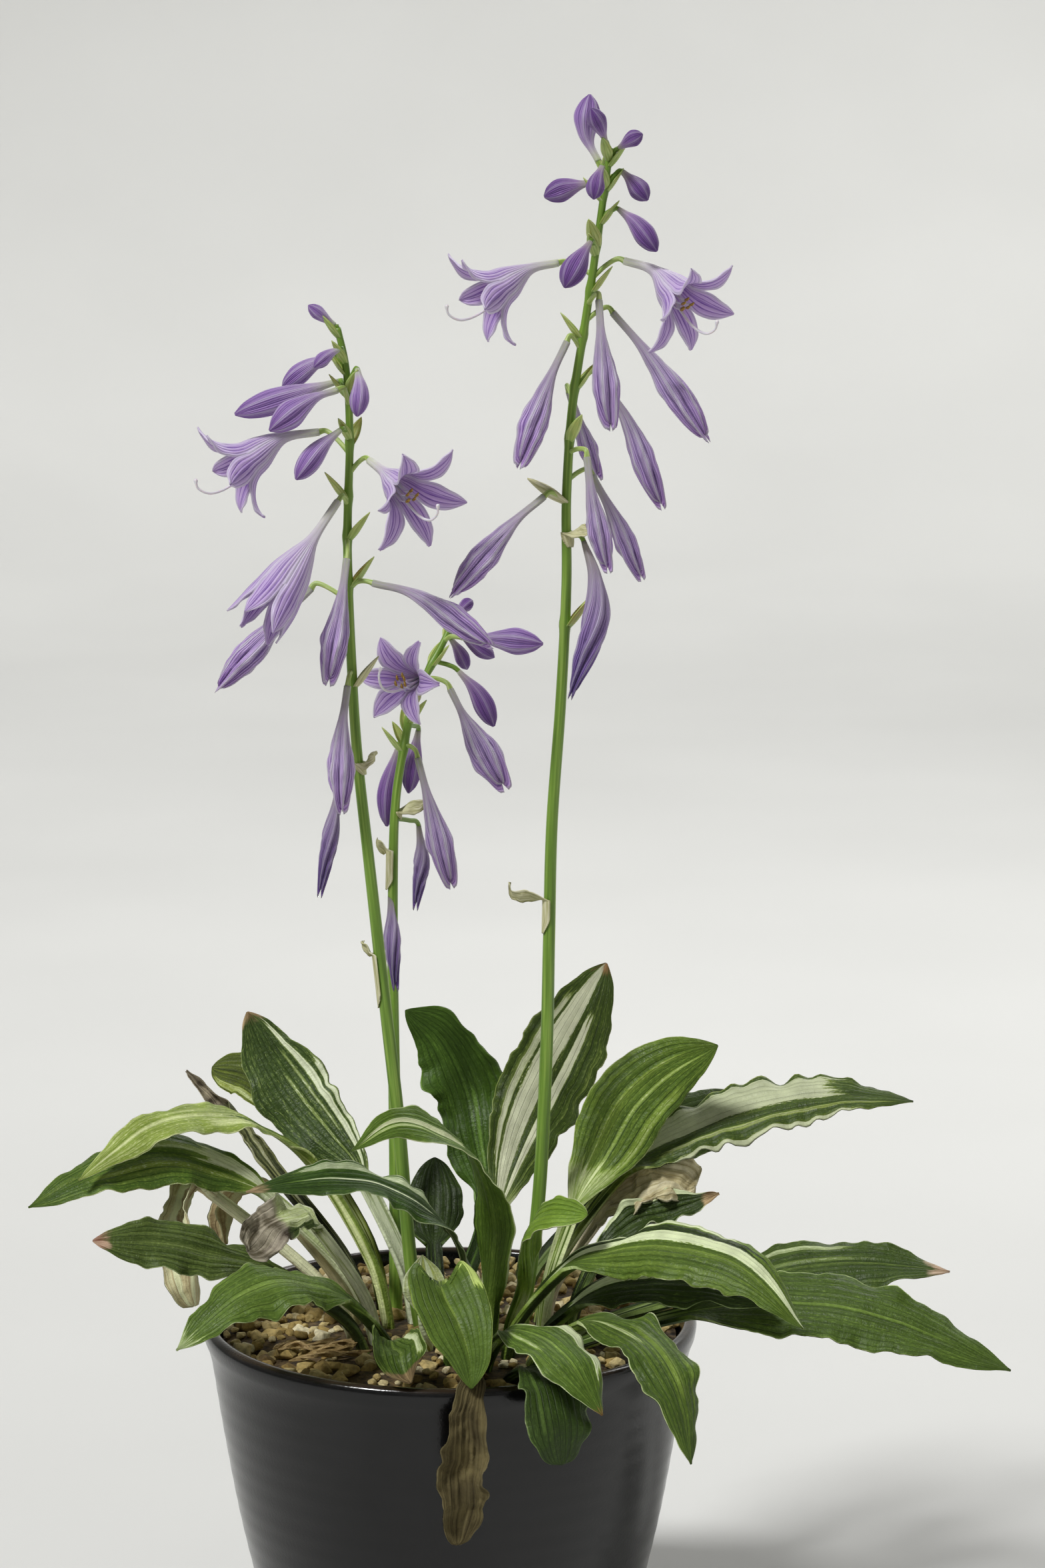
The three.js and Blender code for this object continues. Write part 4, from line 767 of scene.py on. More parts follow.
# %% Looks of the leaves
# `hues` run from the darkest green to cream, `tone` is the ground tone, and `streaks` and `flecks`
# are the strength of the streaks and of the small flecks. `midrib`, `margin` and `stalk` are how
# pale those parts are. From `tip` on along the blade the leaf is dry: `dry` gives the two dry
# hues, `dry_share` how far they cover, and `rough` is the roughness of the whole leaf.
# `bands` are broad: middle across the blade, half width, from and to along it, and strength.
# Across, 0 and 1 are the two margins; along, 0 is the start of the blade and 1 its tip. What a
# look leaves out, it has from PLAIN_LOOK.
PLAIN_LOOK = dict(bands=[], midrib=0, margin=0.3, flecks=0.12, dry=("#6b4f30", "#cdb48a"), tip=1.2,
                  dry_share=1.0, rough=0.46)
LOOKS = {
    "left_long": dict(
        hues=("#314519", "#4f6a25", "#8a9f45", "#e3eac2"), streaks=0.45, tone=0.33, flecks=0.15,
        bands=[(0.3, 0.16, -0.6, 0.24, 0.45), (0.3, 0.06, 0.2, 0.55, 0.3), (0.66, 0.05, 0.05, 0.7, 0.2)],
        stalk=0.95),
    "left_arch": dict(
        hues=("#38501b", "#587127", "#96a94b", "#e2ebaa"), streaks=0.5, tone=0.36, flecks=0.15,
        bands=[(0.5, 0.5, 0.3, 1.2, 0.17), (0.45, 0.05, 0.3, 0.95, 0.2), (0.7, 0.1, -0.2, 0.42, 0.2)],
        stalk=0.7),
    "left_upright": dict(
        hues=("#2a3918", "#455a27", "#8a9c56", "#e8f0cc"), streaks=0.4, tone=0.27, flecks=0.22,
        bands=[(0.17, 0.045, 0.0, 0.9, 0.6), (0.05, 0.03, 0.1, 0.62, 0.6), (0.45, 0.02, 0.05, 0.6, 0.3),
               (0.3, 0.02, 0.3, 0.7, 0.3)], tip=0.95, stalk=0.92),
    "left_back": dict(
        hues=("#323e14", "#596721", "#92a040", "#d8e3a7"), streaks=0.6, tone=0.28,
        bands=[(0.9, 0.06, 0.0, 0.9, 0.35)], stalk=0.4),
    "left_thin": dict(
        hues=("#262b18", "#4a5030", "#8b8d5b", "#c9c8b5"), streaks=0.5, tone=0.34,
        bands=[(0.45, 0.08, 0.0, 0.8, 0.3)], tip=0.6, dry=("#4f4638", "#b1a68c"), rough=0.6, stalk=0.35),
    "left_mid": dict(
        hues=("#263717", "#3c5621", "#678336", "#dbe4be"), streaks=0.3, tone=0.28,
        bands=[(0.16, 0.1, 0.3, 0.8, 0.42)], midrib=0.8, margin=0.4, tip=0.95, stalk=0.15),
    "left_low": dict(
        hues=("#293514", "#435421", "#738541", "#cad3aa"), streaks=0.35, tone=0.36, midrib=0.1, tip=0.93,
        dry=("#8a5a46", "#d3b398"), stalk=0.3),
    "left_front": dict(
        hues=("#33481a", "#4f6823", "#849e47", "#dbe6b4"), streaks=0.3, tone=0.35,
        bands=[(0.5, 0.06, 0.1, 0.6, 0.08), (0.5, 0.5, 0.93, 1.2, 0.3)], midrib=0.07, stalk=0.3),
    "left_dead": dict(
        hues=("#4c3825", "#846a48", "#c9bf95", "#e6e9be"), streaks=0.95, tone=0.54,
        bands=[(0.3, 0.06, -1.0, 1.0, 0.6), (0.7, 0.08, -1.0, 1.0, 0.6)], tip=-2.0,
        dry=("#4a3527", "#8f7354"), dry_share=0.12, rough=0.8, stalk=0.95),
    "left_dead_inner": dict(
        hues=("#4a3826", "#8a7250", "#c2b78a", "#dde2b4"), streaks=0.75, tone=0.5,
        bands=[(0.7, 0.12, -1.0, 1.0, 0.35)], tip=-2.0, dry=("#57402b", "#a68d66"), dry_share=0.4,
        rough=0.8, stalk=0.95),
    "left_grey": dict(
        hues=("#3c522c", "#768949", "#b3bf80", "#e3e9c3"), streaks=0.5, tone=0.58,
        bands=[(0.85, 0.14, 0.0, 0.75, -0.4)], tip=0.46, dry=("#4d3f38", "#b3a898"), dry_share=0.9,
        rough=0.75, stalk=0.8),
    "centre_arch": dict(
        hues=("#3a5118", "#5b7729", "#90ac4b", "#e3ebba"), streaks=0.3, tone=0.3,
        bands=[(0.42, 0.06, 0.55, 0.92, 0.6), (0.58, 0.05, 0.6, 0.9, 0.35)], margin=0.45, stalk=0.25),
    "back_dark": dict(
        hues=("#2c4016", "#44611d", "#6a8c37", "#b4c4a0"), streaks=0.35, tone=0.3,
        bands=[(0.42, 0.03, 0.0, 0.5, 0.25)], midrib=0.08, stalk=0.2),
    "back_tall": dict(
        hues=("#2e3c15", "#485c21", "#98aa58", "#f4f7d4"), streaks=0.5, tone=0.3,
        bands=[(0.62, 0.13, -0.8, 0.99, 0.85), (0.36, 0.05, -0.6, 0.75, 0.7),
               (0.83, 0.04, 0.2, 0.8, 0.45)], tip=0.985, dry=("#8b5a36", "#c89c6c"), stalk=0.9),
    "centre_dark": dict(
        hues=("#1e2a0f", "#2f3f17", "#556b2e", "#a9b188"), streaks=0.35, tone=0.25, stalk=0.2),
    "centre_pale": dict(
        hues=("#475a1e", "#768734", "#b2bd5c", "#e1ecbd"), streaks=0.7, tone=0.6,
        bands=[(0.35, 0.08, 0, 1, 0.3), (0.7, 0.07, 0, 1, 0.3)], stalk=0.7),
    "heart": dict(
        hues=("#3b511c", "#587129", "#869d42", "#c9dd7d"), streaks=0.3, tone=0.3, flecks=0.08,
        bands=[(0.97, 0.09, -0.3, 0.2, 0.5)], midrib=0.15, margin=0.25, stalk=0.4),
    "front_curl": dict(
        hues=("#2b3c15", "#496021", "#849a47", "#e0ebbc"), streaks=0.5, tone=0.3,
        bands=[(0.85, 0.06, 0.1, 0.7, 0.4)], tip=0.82, dry=("#43351f", "#94805a"), stalk=0.3),
    "front_dead": dict(
        hues=("#38311f", "#5c5336", "#7c7250", "#9c9270"), streaks=0.45, tone=0.38, tip=-2.0,
        dry=("#342c1a", "#6d6240"), dry_share=0.6, rough=0.85, stalk=0.5),
    "right_broad": dict(
        hues=("#334717", "#526b24", "#87a040", "#d6e1a6"), streaks=0.4, tone=0.35, flecks=0.15,
        bands=[(0.42, 0.02, 0.0, 0.9, 0.2), (0.62, 0.02, 0.1, 0.8, 0.2), (0.15, 0.05, 0.2, 0.7, 0.2),
               (0.55, 0.5, -0.6, 0.16, 0.3)], stalk=0.55),
    "right_white": dict(
        hues=("#293616", "#465a22", "#8b9b47", "#c8cfa8"), streaks=0.4, tone=0.3,
        bands=[(0.7, 0.22, -0.3, 0.7, 0.95), (0.04, 0.04, 0.2, 0.8, 0.7), (0.25, 0.03, 0.2, 0.9, 0.3)],
        stalk=0.35),
    "right_back": dict(
        hues=("#253211", "#37481c", "#5e7335", "#adb58f"), streaks=0.35, tone=0.28, tip=0.97, stalk=0.3),
    "right_dead": dict(
        hues=("#6f613f", "#b3a575", "#d8cea4", "#efead0"), streaks=0.95, tone=0.56, tip=-2.0,
        dry=("#7a6a45", "#ddd1a6"), dry_share=0.5, rough=0.85, stalk=0.95),
    "right_wavy": dict(
        hues=("#222f11", "#394b1d", "#738640", "#e1ecbd"), streaks=0.35, tone=0.28,
        bands=[(0.93, 0.06, 0.1, 0.9, 0.5)], margin=0.9, tip=0.88, stalk=0.3),
    "right_stripe": dict(
        hues=("#293813", "#506822", "#849c42", "#e1ecbd"), streaks=0.3, tone=0.34,
        bands=[(0.7, 0.09, -0.6, 1.05, 1.0), (0.98, 0.035, -0.3, 0.6, 0.8),
               (0.86, 0.06, 0.0, 0.7, -0.25)], midrib=0.15, stalk=0.3),
    "right_mid": dict(
        hues=("#1f2c0f", "#364819", "#6f883b", "#dee9bb"), streaks=0.35, tone=0.28,
        bands=[(0.72, 0.13, -0.15, 0.4, 0.9), (0.62, 0.07, -0.2, 0.6, 0.75)], stalk=0.25),
    "right_far_upper": dict(
        hues=("#283914", "#42561f", "#758942", "#dee9bb"), streaks=0.45, tone=0.3,
        bands=[(0.85, 0.04, 0.05, 0.55, 0.35), (0.6, 0.03, 0.1, 0.6, 0.2)], midrib=0.12, tip=0.93,
        dry=("#9a7a5c", "#e0c8ae"), stalk=0.3),
    "right_far_lower": dict(
        hues=("#2e3f16", "#4a6022", "#7d9841", "#dae5ad"), streaks=0.3, tone=0.31, midrib=0.16,
        margin=0.35, stalk=0.35),
    "right_down": dict(
        hues=("#2c3e14", "#496021", "#819940", "#e1ecb7"), streaks=0.35, tone=0.33,
        bands=[(0.42, 0.05, 0.08, 0.34, 0.35), (0.6, 0.06, 0.3, 0.7, 0.12)], margin=0.5, stalk=0.35),
    "front_right": dict(
        hues=("#334816", "#506a24", "#8ca74a", "#e1ecbd"), streaks=0.35, tone=0.33,
        bands=[(0.93, 0.07, 0.1, 0.75, 0.55), (0.25, 0.03, 0.15, 0.45, 0.3)], midrib=0.08, margin=0.6,
        tip=0.975, dry=("#6b4a2a", "#b98c58"), stalk=0.3),
    "front_low": dict(
        hues=("#213011", "#35481b", "#5c7534", "#d0d9af"), streaks=0.4, tone=0.28,
        bands=[(0.25, 0.03, 0.2, 0.7, 0.2)], stalk=0.3),
    "green_curl": dict(
        hues=("#44601b", "#648328", "#8caa40", "#d5dfa6"), streaks=0.3, tone=0.38, margin=0.5, stalk=0.4),
}

LOOKS = {name: {**PLAIN_LOOK, **look} for name, look in LOOKS.items()}

# %% Hosta leaf material
STREAK_WIDTH, STREAK_LENGTH = 1.5, 60.0       # mm
SPECKLE_WIDTH, SPECKLE_LENGTH = 0.35, 3.0     # mm, the broken flecks inside a streak
CLOUD_WIDTH, CLOUD_LENGTH = 9.0, 14.0         # mm, patches of another tone
VEIN_SPACING = 2.3                            # mm, at the widest
WRINKLE_SIZE, GRAIN_SIZE = 2.4, 0.8           # mm, between veins
MARGIN_WIDTH = 0.5                            # mm, the thin pale edge
STALK_STRIPES = 5                             # stripes across the stalk
RAGGED_MEAN = 0.68                            # what the noise on a band's edge adds on average
BAND_EDGE = 0.012                             # half the soft edge of a band


def variegation(tree, look, width, across, along, streak, speckle, cloud):
    """The number from dark green to cream, a little lower in the vein grooves as painted shade, and the
    grooves in which the veins lie.
    """
    off_middle = add(tree, "Math", {0: across, 1: 0.5}, operation="SUBTRACT")
    side = add(tree, "Math", {0: off_middle}, operation="ABSOLUTE")
    ground = look["tone"] - look["streaks"] / 2
    field = add(tree, "Math", {0: streak, 1: look["streaks"], 2: ground}, operation="MULTIPLY_ADD")
    ragged_side = add(tree, "Math", {0: speckle, 1: 0.35, 2: streak}, operation="MULTIPLY_ADD")
    for middle, half, start, end, strength in look["bands"]:
        rough_by = min(0.2, half * 1.3)
        edge = half + rough_by * RAGGED_MEAN
        off = add(tree, "Math", {0: across, 1: middle}, operation="SUBTRACT")
        off = add(tree, "Math", {0: off}, operation="ABSOLUTE")
        off = add(tree, "Math", {0: ragged_side, 1: rough_by, 2: off}, operation="MULTIPLY_ADD")
        inside = {0: off, 1: edge + BAND_EDGE, 2: edge - BAND_EDGE, 4: strength}
        inside = add(tree, "MapRange", inside, **SOFT)
        ragged = add(tree, "Math", {0: ragged_side, 1: 0.3, 2: along}, operation="MULTIPLY_ADD")
        begins = add(tree, "MapRange", {0: ragged, 1: start + 0.16, 2: start + 0.22}, **SOFT)
        ends = add(tree, "MapRange", {0: ragged, 1: end + 0.26, 2: end + 0.2}, **SOFT)
        patch = add(tree, "Math", {0: inside, 1: begins}, operation="MULTIPLY")
        patch = add(tree, "Math", {0: patch, 1: ends}, operation="MULTIPLY")
        field = add(tree, "Math", {0: field, 1: patch}, operation="ADD")
    if look["midrib"]:
        rib = add(tree, "MapRange", {0: side, 1: 0.03, 2: 0.01, 4: look["midrib"]}, **SOFT)
        fades = add(tree, "MapRange", {0: along, 1: 0.97, 2: 0.6}, **SOFT)
        rib = add(tree, "Math", {0: rib, 1: fades}, operation="MULTIPLY")
        field = add(tree, "Math", {0: field, 1: rib}, operation="ADD")
    wavering = add(tree, "Math", {0: cloud, 1: 0.6 * MARGIN_WIDTH / width, 2: side}, operation="MULTIPLY_ADD")
    inner = 0.5 - MARGIN_WIDTH / width
    rim = add(tree, "MapRange", {0: wavering, 1: inner, 2: 0.5, 4: look["margin"]}, **SOFT)
    field = add(tree, "Math", {0: field, 1: rim}, operation="ADD")
    flecks = add(tree, "MapRange", {0: speckle, 1: 0.5, 2: 0.72, 4: look["flecks"]}, **SOFT)
    field = add(tree, "Math", {0: field, 1: flecks}, operation="ADD")
    wander = add(tree, "Math", {0: cloud, 1: 0.02, 2: across}, operation="MULTIPLY_ADD")
    turns = 2 * math.pi * round(width / VEIN_SPACING)
    phase = add(tree, "Math", {0: wander, 1: turns}, operation="MULTIPLY")
    veins = add(tree, "Math", {0: phase}, operation="COSINE")
    grooves = add(tree, "MapRange", {0: veins, 1: 0.7, 2: 1.0}, **SOFT)
    # The field is lowered a little along the vein grooves: painted shade in the grooves.
    return add(tree, "Math", {0: grooves, 1: -0.05, 2: field}, operation="MULTIPLY_ADD"), grooves


def leaf_material(name, leaf, look, seed):
    """Satin living leaf: greens under a thin waxy skin, cream streaks and bands, tan dry tip."""
    width, length = leaf["width"], leaf_line(leaf).length
    made, tree, shader = new_material(f"hosta leaf {name}", IOR=1.4, Specular_IOR_Level=0.35)
    uv = add(tree, "UVMap", uv_map=UV_NAME)
    axes = add(tree, "SeparateXYZ", {0: uv})
    across, along = axes.outputs[0], axes.outputs[1]
    streak = drawn_noise(tree, uv, width / STREAK_WIDTH, length / STREAK_LENGTH, 4.0, seed)
    speckle = drawn_noise(tree, uv, width / SPECKLE_WIDTH, length / SPECKLE_LENGTH, 2.0, seed + 3)
    cloud = drawn_noise(tree, uv, width / CLOUD_WIDTH, length / CLOUD_LENGTH, 3.0, seed + 5)
    field, grooves = variegation(tree, look, width, across, along, streak, speckle, cloud)
    # The stalk is cream with a few long green stripes.
    stripe = drawn_noise(tree, uv, STALK_STRIPES, 1.2, 3.0, seed + 7)
    pale = look["stalk"]
    stripes = add(tree, "MapRange", {0: stripe, 1: 0.4, 2: 0.6, 3: pale - 0.3, 4: pale + 0.3}, **SOFT)
    on_blade = add(tree, "MapRange", {0: along, 1: -0.2, 2: 0.14}, **SOFT)
    field = add(tree, "Mix", {0: on_blade, 2: stripes, 3: field})
    living = add(tree, "ValToRGB", {0: field}, stops=list(zip((0.1, 0.32, 0.55, 0.8), look["hues"])))
    patchy = add(tree, "MapRange", {0: cloud, 1: 0.3, 2: 0.7, 3: 0.78, 4: 1.08})
    toned = add(tree, "Mix", {0: 1.0, MIX_A: living, MIX_B: patchy}, **TINTED)
    # What has dried is blotched in two tans, from a place along the blade on.
    half_cloud = add(tree, "Math", {0: cloud, 1: 0.55}, operation="MULTIPLY")
    blotch = add(tree, "Math", {0: streak, 1: 0.45, 2: half_cloud}, operation="MULTIPLY_ADD")
    withered = add(tree, "ValToRGB", {0: blotch}, stops=list(zip((0.4, 0.6), look["dry"])))
    worn_to = add(tree, "Math", {0: cloud, 1: 0.16, 2: along}, operation="MULTIPLY_ADD")
    tip, share = look["tip"], look["dry_share"]
    dryness = add(tree, "MapRange", {0: worn_to, 1: tip + 0.05, 2: tip + 0.11, 4: share}, **SOFT)
    skin = add(tree, "Mix", {0: dryness, MIX_A: toned.outputs[MIX_RESULT], MIX_B: withered}, **COLOUR)
    satin = look["rough"]
    sheen = add(tree, "MapRange", {0: cloud, 1: 0.3, 2: 0.7, 3: satin - 0.06, 4: satin + 0.08}, **SOFT)
    gloss = add(tree, "Math", {0: dryness, 1: 0.3, 2: sheen}, operation="MULTIPLY_ADD")
    wrinkle = drawn_noise(tree, uv, width / WRINKLE_SIZE, length / WRINKLE_SIZE, 2.0, seed + 9)
    grain = drawn_noise(tree, uv, width / GRAIN_SIZE, length / GRAIN_SIZE, 1.0, seed + 11)
    raised = add(tree, "Math", {0: grain, 1: 0.35, 2: wrinkle}, operation="MULTIPLY_ADD")
    raised = add(tree, "Math", {0: grooves, 1: -0.8, 2: raised}, operation="MULTIPLY_ADD")
    relief = add(tree, "Bump", {"Strength": 0.7, "Distance": 0.0005, "Height": raised})
    join(tree, shader, Base_Color=skin.outputs[MIX_RESULT], Roughness=gloss, Normal=relief)
    return made


# %% [markdown]
# ## Hosta leaf, the sheet
# The blade is a grid laid along the leaf's line: rows follow the line, columns go across it.
# Each row is folded into a shallow V, its margins fall and ripple, and soft ribs swell between
# the veins. Along the margin the sheet also grows in and out by a millimetre or two, which
# gives the scalloped outline. The stalk is the same sheet, narrow, thick and grooved on top.
# `solidify` then adds the underside, and each of its corners is moved to the true thickness:
# 3 mm in the stalk, under half a millimetre in the blade.
#
# Withered leaves are the same sheet after drying: the margins furl in, the blade twists, and
# the surface is crushed in all directions.

# %% Rows of one leaf
STALK_ROWS, BLADE_ROWS, LEAF_COLUMNS = 14, 90, 32
ROW_CROWDING = 1.25                           # rows stand closer near the base of the blade
STALK_WIDTH, STALK_DEPTH, BLADE_DEPTH = 4.6, 3.2, 0.45
LEAST_HALF = 0.4                              # mm, half the width at the very tip


def blade_outline(s, rise, fall):
    """Share of the full half width at s, from 0 at the start of the blade to 1 at its tip."""
    peak = rise / (rise + fall)
    return s ** rise * (1 - s) ** fall / (peak ** rise * (1 - peak) ** fall)


def leaf_rows(leaf):
    """For every row: shares along blade and stalk, centre, three directions, half width, place in mm."""
    line = leaf_line(leaf)
    blade_start = line.knot(2 + len(leaf["neck"]))
    start, tip = line.at(0), line.at(line.length)
    heading = Vector((tip.x - start.x, tip.y - start.y, 0)).normalized()
    level = UP.cross(heading)
    rows = []
    for i in range(STALK_ROWS + BLADE_ROWS + 1):
        on_stalk = i < STALK_ROWS
        s = 0.0 if on_stalk else ((i - STALK_ROWS) / BLADE_ROWS) ** ROW_CROWDING
        distance = blade_start * i / STALK_ROWS if on_stalk else lerp(blade_start, line.length, s)
        along = line.along(distance)
        side = square_to(along, level)
        normal = along.cross(side)
        turn = math.radians(lerp(*leaf["roll"], s) * smooth(distance / blade_start))
        right = side * math.cos(turn) - normal * math.sin(turn)
        face = normal * math.cos(turn) + side * math.sin(turn)
        stalk = STALK_WIDTH / 2 * (1 - s) ** 3
        blade = leaf["width"] / 2 * (blade_outline(s, *leaf["shape"]) if s > 0 else 0)
        half = max(LEAST_HALF, math.hypot(stalk, blade))
        rows.append((s, distance / blade_start - 1, line.at(distance), along, right, face, half, distance))
    return rows


# %% Growing one leaf
RIBS = 8
SKIN = 0.1                                    # mm, a first distance for the underside
SCALLOP_SIZE, NIBBLE_SIZE, FRILL_SIZE = 9.5, 3.6, 6.0     # mm along the margin
DENT_SIZE, CRUSH_SIZE, CREASE_SIZE = 13.0, 9.0, 4.5       # mm
KEEL_DEPTH, KEEL_WIDTH = 0.6, 0.07            # mm, and share of the half width, at the midrib
SEED_STEP = 3.7                               # keeps the noise of one leaf apart from the next


def grow_leaf(name, leaf, look, seed):
    """Lay the sheet of a leaf along its line, thicken it and finish it."""
    rows = leaf_rows(leaf)
    depths = {}

    def along_margin(distance, size, shift):
        return noise.noise(Vector((distance / size, seed, shift)))

    def place(i, j):
        s, _, centre, along, right, face, half, distance = rows[i]
        # v runs from margin to margin, w from the midrib out, and hand tells the two halves apart.
        v = 2 * j / LEAF_COLUMNS - 1
        w, hand = abs(v), (1 if v > 0 else -1)
        opening = smooth(5 * s)
        fold = math.radians(leaf["fold"]) * opening
        furl = math.radians(leaf["furl"]) * opening + 1e-4
        # The margin waves across the sheet, and grows in and out in its plane.
        ripple = math.sin(math.pi * min(1, 1.02 * s)) ** 0.7 if s < 0.98 else 0.0
        beat = math.sin(2 * math.pi * leaf["waves"] * s + (0.4 if v < 0 else 2.3))
        wave = leaf["wave"] * ripple * w * w * beat
        wave += leaf["frill"] * 2.2 * ripple * w ** 3 * along_margin(distance, FRILL_SIZE, 20 + hand)
        scallop = along_margin(distance, SCALLOP_SIZE, 30 + hand)
        scallop += 0.3 * along_margin(distance, NIBBLE_SIZE, hand)
        outward = 1.8 * leaf["scallop"] * scallop * ripple * w ** 3
        # The stalk is grooved and lies in its own thickness; the blade is ribbed, with a keel.
        groove = (1 - opening) * w * w
        seat = STALK_DEPTH / 2 * (1 - smooth(4 * s))
        ribs = leaf["ribs"] * opening * ripple * (1 - w ** 4) * math.cos(2 * math.pi * RIBS * (v + 1) / 2)
        keel = -KEEL_DEPTH * opening * (1 - s) * math.exp(-(v / KEEL_WIDTH) ** 2)
        # The half sheet bends up by its fold and its furl, and falls by its droop.
        spread = (half * math.sin(furl * w) / furl + outward) * math.cos(fold)
        lift = half * (math.sin(fold) * w + (1 - math.cos(furl * w)) / furl - leaf["droop"] * opening * w * w)
        lift += wave + groove + seat + ribs + keel
        lobe = leaf["lobes"] * smooth(s / 0.03) * (1 - s) ** 6 * w ** 1.5 * (1.4 - 0.9 * w ** 5)
        point = centre + right * (hand * spread) + face * (lift + 0.8 * lobe) - along * (0.6 * lobe)
        # Dents, and the creases of a withered leaf.
        dent = noise.noise(point / DENT_SIZE + Vector((seed, 0, 0))) * leaf["crumple"] * opening
        point += face * dent
        if leaf["crush"]:
            push = noise.noise_vector(point / CRUSH_SIZE + Vector((0, seed, 0)))
            crease = 0.5 - abs(noise.noise(point / CREASE_SIZE + Vector((0, 0, seed)))) * 2
            point += (push * 1.3 + face * crease * 0.45) * leaf["crush"] * opening
        depths[i, j] = lerp(STALK_DEPTH * (1 - 0.62 * w * w), BLADE_DEPTH * (1 - 0.4 * w ** 4), smooth(4 * s))
        return point

    bm = new_mesh()
    row_v = [s if s > 0 else stalk_v for s, stalk_v, *_ in rows]
    upper, _ = laid_grid(bm, len(rows) - 1, LEAF_COLUMNS, place, row_v, flip=True)
    bm.normal_update()
    normals = [vert.normal.copy() for vert in upper]
    bmesh.ops.solidify(bm, geom=bm.faces[:], thickness=SKIN * MM)
    bm.verts.ensure_lookup_table()
    for k, normal in enumerate(normals):
        depth = depths[divmod(k, LEAF_COLUMNS + 1)]
        bm.verts[len(normals) + k].co = bm.verts[k].co - normal * depth * MM
    bmesh.ops.recalc_face_normals(bm, faces=bm.faces[:])
    material = leaf_material(name, leaf, look, seed)
    return finished(f"blade_{name}", bm, [material], f"leaf_{name}", leaf["slot"])


for number, (name, leaf) in enumerate(LEAVES.items()):
    grown = grow_leaf(name, leaf, LOOKS[name], number * SEED_STEP)
print("leaves:", len(LEAVES), "last one has", len(grown.data.polygons), "faces")

# %% [markdown]
# ## Flower stems, as lines
# Three stems rise out of the clump. Each table gives the stem's path, the small buds that are
# grown on it (`at` is the height where the stalk leaves the stem), its larger flowers, and its
# bracts. A flower with a `mouth` is an open bell: its line runs from the thin tube to the mouth,
# and six tepals spread from there. A bract is given by height, direction in degrees and size; a
# pale one, which is yellowing, also by how upright it stands. A dry one is given by height,
# direction, how much of it clasps the stem and how much stands off. Small buds that are `old`
# have shrivelled.

